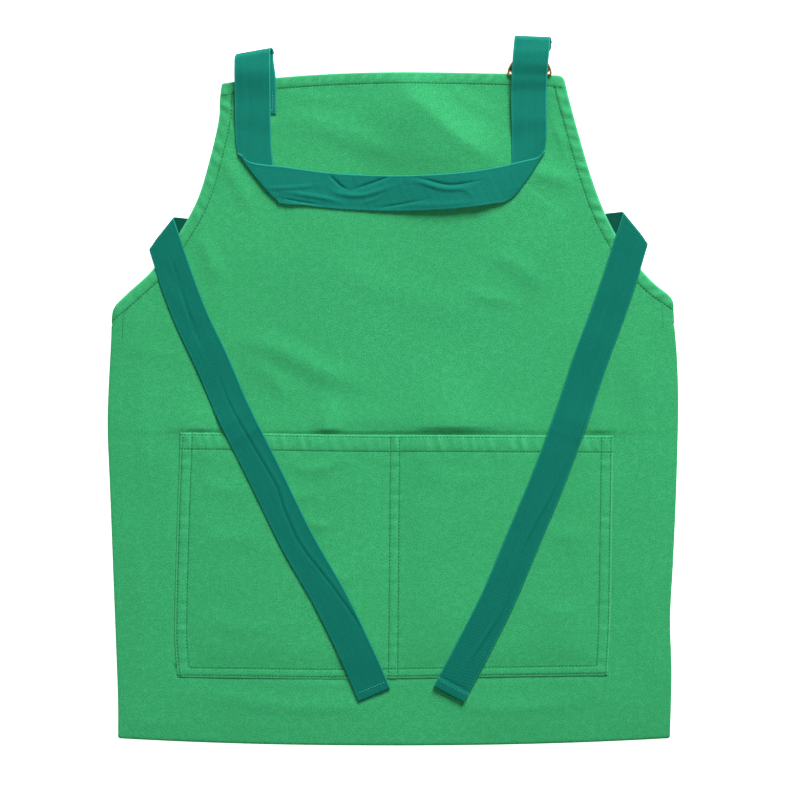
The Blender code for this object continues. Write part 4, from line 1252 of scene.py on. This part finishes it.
def ring_tab():
    low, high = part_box("ring_tab")
    lower = low[2] + WEBBING / 2
    upper = lower + WEBBING + 0.3 * MM
    top = lower + 2 * TAB_RADIUS
    profile = smooth_profile([(low[1] + 0.2 * MM, lower), (0.262, lower), (BACK_BAR.y, lower)])
    profile += arc_profile(BACK_BAR.y, lower + TAB_RADIUS, TAB_RADIUS, -90, 90, 14)[1:]
    profile += smooth_profile(
        [(FRONT_BAR.y - 1.0 * MM, top), (0.2670, top - 0.6 * MM), (0.2640, upper + 0.5 * MM),
         (0.2615, upper), (0.2500, upper), (low[1] + 1 * MM, upper)]
    )
    middle = (low[0] + high[0]) / 2 + 0.3 * MM
    piece, length = ribbon("ring_tab_webbing", profile_stations(profile, (high[0] - low[0]) / 2, middle))
    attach(piece, "apron")
    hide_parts("ring_tab")
    return upper + WEBBING / 2


def ring_end():
    """The strap's other end: from under the right loop, round the back ring, and back a little way."""
    drop = math.radians(8)
    tilt = math.radians(-1.6)
    cinch_z = BACK_BAR.z + (CINCH_Y - BACK_BAR.y) * math.sin(tilt)
    inner = arc_profile(CINCH_Y, cinch_z, TAB_RADIUS, 270, 90, 14)
    tail_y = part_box("neck_strap_ring_end")[1][1] - 0.3 * MM
    lower_z = cinch_z - TAB_RADIUS
    profile = smooth_profile([(tail_y, lower_z), (CINCH_Y + 3 * MM, lower_z), inner[0]])
    profile += inner[1:] + smooth_profile([inner[-1], (tail_y, cinch_z + TAB_RADIUS)])[1:]
    turned = []
    for y, z in profile:
        dy, dz = y - BACK_BAR.y, z - BACK_BAR.z
        turned.append((BACK_BAR.y + dy * math.cos(drop) + dz * math.sin(drop),
                       BACK_BAR.z - dy * math.sin(drop) + dz * math.cos(drop)))
    loop_z = RIGHT_LOOP.z - LOOP_RADIUS
    lead = smooth_profile(
        [(RIGHT_LOOP.y + 0.3 * MM, loop_z), (RIGHT_LOOP.y - 3 * MM, loop_z - 1.2 * MM), turned[0]]
    )
    # Between the loop and the rings the strap narrows, and it lies further left
    set_off = Vector((RIGHT_LOOP.x - FRONT_BAR.x + RIGHT_SET_OFF, 0, 0))
    stations = []
    for left, right, normal in profile_stations(lead + turned[1:], CINCHED_HALF):
        swell = float(step_up(left.y - 0.2865, 0.008)) * (STRAP_WIDTH / 2 - CINCHED_HALF)
        shift = set_off * float(step_up(left.y - 0.2850, 0.008))
        widen = (right - left).normalized() * swell
        stations.append((left - widen + shift, right + widen + shift, normal))
    piece, length = ribbon("neck_strap_tail_webbing", stations)
    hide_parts("neck_strap_ring_end")
    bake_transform(piece)


def tie_height(x, y):
    """The ties lie on the body, climb over the pocket's mouth and stay on the pocket."""
    on_pocket = POCKET_MID + CLOTH / 2 + 0.75 * MM + WEBBING / 2
    climb = step_up(-0.010 - y, 0.027)
    up = step_up(y + 0.2505, POCKET_RAMP)
    over = on_pocket + POCKET_BULGE * up
    return np.where(y < -0.0375, over, STRAP_MID + (on_pocket + POCKET_BULGE - STRAP_MID) * climb)


# end_rise is 1 where the hemmed end is turned over to the front, -1 where it is turned under
TIES = {
    "left_tie": dict(
        sign=-1, crease=51.5, end_rise=-1,
        path=[(-0.1985, 0.1325), (-0.1855, 0.0947), (-0.1723, 0.0604), (-0.1560, 0.0261),
              (-0.1365, -0.0190), (-0.1120, -0.0680), (-0.0827, -0.1281), (-0.0536, -0.1795),
              (-0.0287, -0.2310), (-0.0163, -0.2600)],
    ),
    "right_tie": dict(
        sign=1, crease=129.2, end_rise=1,
        path=[(0.2078, 0.1372), (0.1941, 0.0947), (0.1821, 0.0604), (0.1693, 0.0261),
              (0.1521, -0.0253), (0.1328, -0.0767), (0.1114, -0.1281), (0.0896, -0.1795),
              (0.0650, -0.2280), (0.0483, -0.2595)],
    ),
}
TIE_FOLD_RADIUS = 1.5 * MM
TIE_END_HEM = 8 * MM
ROOT_X = 0.128

# The left tie's crease: how far down the apron, and how far right of the tie's middle in half widths
LEFT_TIE_CREASE = [
    (-0.040, 0.05), (0.010, -0.02), (0.030, 0.05), (0.060, 0.20), (0.082, 0.32), (0.100, 0.14),
    (0.125, 0.02), (0.140, 0.12), (0.154, 0.30), (0.185, 0.66), (0.210, 0.98),
]


def tie_shape(name):
    """Each tie's long creases: the left one has a dark crease right of its middle, the other a ridge."""
    def left(x, y, rightwards, upwards):
        place = np.interp(-y, *zip(*LEFT_TIE_CREASE))
        line = bell(rightwards - place, 0.070) * step_up(0.030 - y, 0.05)
        valley = -0.42 * line * step_up(y + 0.215, 0.03)
        beside = 0.34 * bell(rightwards - place - 0.20, 0.15) * step_up(0.020 - y, 0.05)
        high = step_up(y - 0.030, 0.03) * step_up(0.118 - y, 0.02)
        folds = 0.30 * np.sin((y + 0.35 * x) * 160) * bell(rightwards + 0.1, 0.45) * high
        line_up = -0.55 * bell(rightwards - 0.05 - 4 * (y - 0.09), 0.10) * high
        rise = valley + beside * step_up(y + 0.215, 0.03) + folds + line_up
        # Off the pocket the tie already lies on the body
        return np.where(y > -0.03, np.maximum(rise, -0.35), rise) * MM

    def right(x, y, rightwards, upwards):
        path = np.array(TIES[name]["path"])
        step = path[-1] - path[-2]
        from_tip = ((path[-1][0] - x) * step[0] + (path[-1][1] - y) * step[1]) / np.linalg.norm(step)
        hem = 0.16 * step_up(TIE_END_HEM + 0.5 * MM - from_tip, 0.8 * MM)
        hem = hem - 0.50 * bell(from_tip - TIE_END_HEM - 1.1 * MM, 0.9 * MM)
        place = 0.30 + 0.15 * np.sin(y * 60)
        line = bell(rightwards - place, 0.11)
        fold = step_up(-0.040 - y, 0.05) * step_up(y + 0.245, 0.03)
        upper = bell(rightwards + 0.05 + 2 * (y - 0.05), 0.15)
        upper = upper * step_up(y + 0.03, 0.05) * step_up(0.11 - y, 0.04)
        soft = 0.12 * np.sin(y * 130 + 2) * (1 - rightwards ** 2) * step_up(0.110 - y, 0.03)
        return (np.maximum(0.95 * line * fold - 0.35 * upper + soft, -0.35) + hem) * MM
    return left if name == "left_tie" else right


def tie(name):
    facts = TIES[name]
    crease = heading(facts["crease"])
    path = through(facts["path"], 1.3 * MM)
    backwards = Vector((*(path[0] - path[1]), 0)).normalized()
    top = Vector((*path[0], STRAP_MID))
    turn, hidden, inwards = fold_arc(top, backwards, crease, TIE_FOLD_RADIUS, -1, TIE_WIDTH, 16)
    front = run(path, tie_height, TIE_WIDTH, crease, None, 0.06, on_body=True)
    travel = Vector((*(path[-1] - path[-2]), 0)).normalized()
    square = Vector((-travel.y, travel.x, 0))
    tip = Vector((*path[-1], float(tie_height(*path[-1]))))
    radius = (WEBBING + 0.3 * MM) / 2
    end_turn, end_centre, back = fold_arc(tip, travel, square, radius, facts["end_rise"], TIE_WIDTH, 8)
    for share in (0.25, 0.5, 0.75, 1):
        end_turn.append(crossing(end_centre + back * TIE_END_HEM * share, back, -square, TIE_WIDTH))

    # The hidden stretch, from the outer fold inwards, down behind the bib and to its sewn end
    corner = hidden + inwards * ((facts["sign"] * ROOT_X - hidden.x) / inwards.x)
    angle = (math.degrees(math.atan2(inwards.y, inwards.x)) - 90) / 2
    root_crease = heading(angle)

    def level(x, y):
        return hidden.z

    def sink(x, y):
        return below.z + (sewn_z - below.z) * float(step_up(0.042 - y, 0.024))

    steps = np.linspace(0, 1, 24)[:, None]
    inner_path = np.array(hidden[:2]) * (1 - steps) + np.array(corner[:2]) * steps
    hidden_run = run(inner_path, level, TIE_WIDTH, crease, root_crease, 0.03)
    down_turn, below, down = fold_arc(corner, inwards, root_crease, radius + 0.1 * MM, -1, TIE_WIDTH, 8)
    sewn_z = TURNBACK_LOW - 0.3 * MM - WEBBING / 2
    sewn_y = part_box(name + "_root")[0][1] + 0.3 * MM
    ys = np.linspace(below.y, sewn_y, 40)
    down_path = np.stack([below.x + down.x / down.y * (ys - below.y), ys], axis=1)
    down_run = run(down_path, sink, TIE_WIDTH, root_crease, None, 0.03)

    stations = down_run[::-1] + down_turn[-2::-1] + hidden_run[-2::-1] + turn[-2::-1]
    stations += front[1:] + end_turn[1:]
    # The fold's outer corner is a little blunt
    tip_of_fold = path[0] - np.array(crease[:2]) * 16.8 * MM
    sign = facts["sign"]
    bows = [(tip_of_fold, heading(90 + sign * 84), heading(90 - sign * 96), 7 * MM, -0.9 * MM)]
    piece, length = ribbon(name + "_webbing", stations, tie_shape(name), 43, TIE_WEBBING, bows)
    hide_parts(name, name + "_root")
    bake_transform(piece)
    layers = WEBBING + 0.3 * MM if facts["end_rise"] > 0 else 0
    seam = tip + back * TIE_END_HEM * 0.72 + UP * (WEBBING / 2 + layers)
    reach = square * (TIE_WIDTH / 2 - 2.2 * MM)
    stitches(name + "_end_stitches", [[seam - reach, seam + reach]], TEAL_THREAD, name,
             name + "_end_stitching", BOX_PITCH, radius=0.36 * MM)
    centre_x = below.x + down.x / down.y * (sewn_y - below.y)
    box_stitches(
        name + "_root_stitches", centre_x, sewn_y + 3 * MM, 0.007, sewn_z - WEBBING / 2, 11.5 * MM,
        name + "_root_stitching", -1,
    )


# ---------------------------------------------------------------- stitches

STITCH_SIDES = 6
BOX_PITCH = 2.6 * MM
# Where the rings of a stitch lie along it, and how fat the thread is there
STITCH_RINGS = np.array([-1.0, -0.8, -0.4, 0.0, 0.4, 0.8, 1.0])
STITCH_FATNESS = np.array([0.45, 0.85, 1, 1, 1, 0.85, 0.45])


def stitches(name, lines, material, body, node, pitch=STITCH_PITCH, facing=1, radius=THREAD / 2):
    """Rows of separate stitches: each a short arched thread, dipping into the cloth at its ends."""
    vertices, faces, weave = [], [], []
    for line in lines:
        curve = np.array([tuple(point) for point in line])
        if len(line) > 2:
            curve = through(curve, 1.0 * MM)
        travelled = along(curve)
        count = max(1, int(travelled[-1] / pitch))
        for k in range(count):
            middle = (k + 0.5) * travelled[-1] / count
            at = np.clip(middle + STITCH_RINGS * pitch * 0.42, 0, travelled[-1])
            spine = np.stack([np.interp(at, travelled, curve[:, i]) for i in range(3)], axis=1)
            spine[:, 2] += facing * radius * ((1 - STITCH_RINGS ** 2) * 0.9 - 0.75)
            direction = spine[-1] - spine[0]
            direction /= max(np.linalg.norm(direction), 1e-9)
            side = np.cross(direction, (0, 0, 1.0))
            side /= max(np.linalg.norm(side), 1e-9)
            up = np.cross(side, direction)
            base = len(vertices)
            for ring, size in zip(spine, radius * STITCH_FATNESS):
                for i in range(STITCH_SIDES):
                    a = math.tau * i / STITCH_SIDES
                    vertices.append(ring + (side * math.cos(a) + up * math.sin(a)) * size)
                    weave.append((np.linalg.norm(ring - spine[0]), a * radius, 0))
            for r in range(len(spine) - 1):
                for i in range(STITCH_SIDES):
                    j = (i + 1) % STITCH_SIDES
                    a, b = base + r * STITCH_SIDES, base + (r + 1) * STITCH_SIDES
                    faces.append((a + i, a + j, b + j, b + i))
            last = base + (len(spine) - 1) * STITCH_SIDES
            ends = ((base, (5, 4, 1, 0)), (base, (4, 3, 2, 1)), (last, (0, 1, 4, 5)), (last, (1, 2, 3, 4)))
            for start, order in ends:
                faces.append(tuple(start + i for i in order))
    piece = new_piece(name, vertices, faces, material, [("weave", weave)])
    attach(piece, body)
    if node is not None:
        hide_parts(node)
    return piece


def on_surface(xy, top):
    """The line at the height of the cloth, sunk into it a little."""
    return np.column_stack([xy, top(xy[:, 0], xy[:, 1]) - 0.06 * MM])


def box_stitches(name, x, y_low, y_high, z, half, node, facing=1):
    """A sewn box with a cross in it."""
    ends = [(x - half, y_low, z), (x + half, y_low, z), (x + half, y_high, z), (x - half, y_high, z)]
    pairs = ((0, 1), (1, 2), (2, 3), (3, 0), (0, 2), (1, 3))
    stitches(name, [[ends[a], ends[b]] for a, b in pairs], TEAL_THREAD, "apron", node, BOX_PITCH, facing)


def offset_curve(curve, distance):
    """The open curve moved sideways, to its left, by a distance."""
    step = np.gradient(curve, axis=0)
    step /= np.linalg.norm(step, axis=1, keepdims=True)
    return curve + np.stack([-step[:, 1], step[:, 0]], axis=1) * distance


def cloth_stitches():
    left = offset_curve(through(LEFT_EDGE[:11]), HEM)
    right = offset_curve(through(RIGHT_EDGE[:11]), -HEM)
    left = left[left[:, 1] < 0.2575]
    right = right[right[:, 1] < 0.2630]
    for side, line in (("left", left), ("right", right)):
        rows = [on_surface(line, body_top)]
        stitches(side + "_armhole_stitches", rows, GREEN_THREAD, "apron", side + "_armhole_stitching")
    x = np.linspace(-0.1475, 0.1455, 150)
    top = np.stack([x, BIB_TOP_Y - top_drop(x) - HEM], axis=1)
    rows = []
    # The sewn-on straps cover the row at both corners
    for low, high in ((-0.1475, -0.1350), (-0.1000, 0.1020), (0.1320, 0.1455)):
        part = top[(x >= low) & (x <= high)]
        rows.append(on_surface(part, body_top))
    stitches("top_hem_stitches", rows, GREEN_THREAD, "apron", "top_hem_stitching")


def flap_stitches():
    """The row along the apron's lower hem, on the face of the folded-up part."""
    x = np.array([-0.229, 0.229])
    line = np.column_stack([x, np.full(2, FLAP_TOP_Y - HEM), np.full(2, 0.16 * MM)])
    stitches("lower_hem_stitches", [line], GREEN_THREAD, "bottom_flap", None, facing=-1)


def loose_threads():
    """The cut thread end under the pocket's middle seam and the frayed tuft at its left corner."""
    rng = np.random.default_rng(17)

    def strand(x, y, angle, length, bend):
        t = np.linspace(0, 1, 12)
        turn = math.radians(angle) + bend * t
        px = x + np.cumsum(np.cos(turn)) * length / 12
        py = y + np.cumsum(np.sin(turn)) * length / 12
        height = np.maximum(pocket_top(px, py) * (py > pocket_foot_y(px)), body_top(px, py))
        return np.column_stack([px, py, height + 0.22 * MM])

    strands = [strand(0.0033, -0.2462, -100, 3.4 * MM, 0.5)]
    for _ in range(7):
        y = -0.2355 + rng.uniform(-2.0, 2.0) * MM
        angle = 180 + rng.uniform(-50, 40)
        length = rng.uniform(1.2, 2.6) * MM
        strands.append(strand(-0.1855, y, angle, length, rng.uniform(-1, 1)))
    stitches("loose_thread_ends", strands, GREEN_THREAD, "apron", None, pitch=2.2 * MM, radius=0.16 * MM)


def pocket_stitches():
    y = np.linspace(-0.0395, -0.2440, 110)
    mouth_x = np.linspace(-0.1795, 0.1860, 180)
    edge_rows = []
    for row in POCKET_SIDE_ROWS:
        low = POCKET_FOOT_ROWS[0] if row == POCKET_SIDE_ROWS[0] else POCKET_FOOT_ROWS[1]
        for points, sign in ((POCKET_LEFT_EDGE, 1), (POCKET_RIGHT_EDGE, -1)):
            x = edge_x(points, y) + sign * row
            part = np.stack([x, y], axis=1)[y > pocket_foot_y(x) + low]
            edge_rows.append(on_surface(part, pocket_top))
    for row, margin in zip(POCKET_FOOT_ROWS, POCKET_SIDE_ROWS):
        x = np.linspace(-0.1845 + margin, 0.1839 - margin, 180)
        edge_rows.append(on_surface(np.stack([x, pocket_foot_y(x) + row], axis=1), pocket_top))
    mouth_rows = [
        on_surface(np.stack([mouth_x, pocket_mouth_y(mouth_x) - row], axis=1), pocket_top)
        for row in POCKET_MOUTH_ROWS
    ]
    middle_rows = [
        on_surface(np.stack([pocket_middle(y) + row, y], axis=1), pocket_top)
        for row in POCKET_DIVIDER_ROWS
    ]
    stitches("pocket_edge_stitches", edge_rows, GREEN_THREAD, "apron", "pocket_edge_stitching")
    stitches("pocket_mouth_stitches", mouth_rows, GREEN_THREAD, "apron", "pocket_mouth_stitching")
    stitches("pocket_divider_stitches", middle_rows, GREEN_THREAD, "apron", "pocket_divider_stitching")


# ---------------------------------------------------------------- rings

def ring(name, bar, half_width, tilt, body):
    """A ring of round wire: a straight bar in the tab and a half-round arc above it."""
    depth, wire = 16.5 * MM, 1.0 * MM
    turn = np.linspace(0, math.pi, 73)
    arc = np.stack([half_width * np.cos(turn), depth * np.sin(turn)], axis=1)
    bar_x = np.linspace(-half_width, half_width, 26)[1:-1]
    path = np.vstack([arc, np.stack([bar_x, np.zeros_like(bar_x)], axis=1)])
    # Round the two corners a little
    for _ in range(2):
        path = (np.roll(path, 1, axis=0) + 2 * path + np.roll(path, -1, axis=0)) / 4
    step = np.roll(path, -1, axis=0) - np.roll(path, 1, axis=0)
    step /= np.linalg.norm(step, axis=1, keepdims=True)
    side = np.stack([-step[:, 1], step[:, 0], np.zeros(len(path))], axis=1)
    sides = 18
    angles = (np.arange(sides) * math.tau / sides)[None, :, None]
    centre = np.column_stack([path, np.zeros(len(path))])[:, None]
    points = centre + (side[:, None] * np.cos(angles) + np.array([0, 0, 1.0]) * np.sin(angles)) * wire
    cos, sin = math.cos(tilt), math.sin(tilt)
    y = points[..., 1] * cos - points[..., 2] * sin
    z = points[..., 1] * sin + points[..., 2] * cos
    points = np.stack([points[..., 0] + bar.x, y + bar.y, z + bar.z], axis=2)
    count = len(path)
    faces = []
    for k in range(count):
        for i in range(sides):
            a, b = k * sides, (k + 1) % count * sides
            j = (i + 1) % sides
            faces.append((a + i, a + j, b + j, b + i))
    piece = new_piece(name, points.reshape(-1, 3), faces, BRASS)
    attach(piece, body)
    return piece


def rings():
    back = ring("brass_ring_back", BACK_BAR, 15.95 * MM, math.radians(-9.6), "back_ring")
    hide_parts("d_ring_back")
    front = ring("brass_ring_front", FRONT_BAR, 18.3 * MM, math.radians(7.5), "front_ring")
    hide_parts("d_ring_front")


# ---------------------------------------------------------------- stage

def stage():
    reach = 12.0
    corners = [(-reach, -reach, 0), (reach, -reach, 0), (reach, reach, 0), (-reach, reach, 0)]
    mesh = bpy.data.meshes.new("floor")
    mesh.from_pydata(corners, [], [(0, 1, 2, 3)])
    mesh.materials.append(floor_material("floor_pale"))
    floor = bpy.data.objects.new("floor", mesh)
    floor.location.z = -0.2 * MM
    bpy.context.collection.objects.link(floor)

    def area(name, place, size, energy):
        data = bpy.data.lights.new(name, "AREA")
        data.size = size
        data.energy = energy
        lamp = bpy.data.objects.new(name, data)
        lamp.location = place
        lamp.rotation_euler = (-Vector(place)).to_track_quat("-Z", "Y").to_euler()
        lamp.visible_camera = False
        bpy.context.collection.objects.link(lamp)

    area("key", (1.20, 3.6, 2.40), 2.0, 268)
    area("overhead", (0.0, -0.12, 1.0), 0.4, 1.45)
    area("fill", (-1.4, -0.9, 2.2), 1.6, 1.8)
    world = bpy.data.worlds.new("studio")
    world.use_nodes = True
    background = world.node_tree.nodes["Background"]
    background.inputs["Color"].default_value = (0.97, 1.0, 1.0, 1)
    background.inputs["Strength"].default_value = 0.11
    bpy.context.scene.world = world

    lens, sensor, field = 200, 36, 0.6857
    data = bpy.data.cameras.new("camera")
    data.lens = lens
    data.sensor_width = sensor
    camera = bpy.data.objects.new("camera", data)
    camera.location = (0.0060, -0.0081, field * lens / sensor + 0.005)
    data.clip_end = 50
    bpy.context.collection.objects.link(camera)
    bpy.context.scene.camera = camera
    bpy.context.scene.view_settings.view_transform = "Standard"


stage()
apron_cloth()
pocket()
neck_strap()
sewn_top = sewn_end()
sewn_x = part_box("neck_strap_sewn_end")[1][0] - STRAP_WIDTH / 2
box_stitches(
    "neck_strap_box_stitches", sewn_x, 0.2397, 0.2600, sewn_top, 12 * MM, "neck_strap_box_stitching"
)
tab_top = ring_tab()
box_stitches("ring_tab_stitches", FRONT_BAR.x, 0.2407, 0.2590, tab_top, 12 * MM, "ring_tab_stitching")
ring_end()
rings()
tie("left_tie")
tie("right_tie")
cloth_stitches()
pocket_stitches()
flap_stitches()
loose_threads()
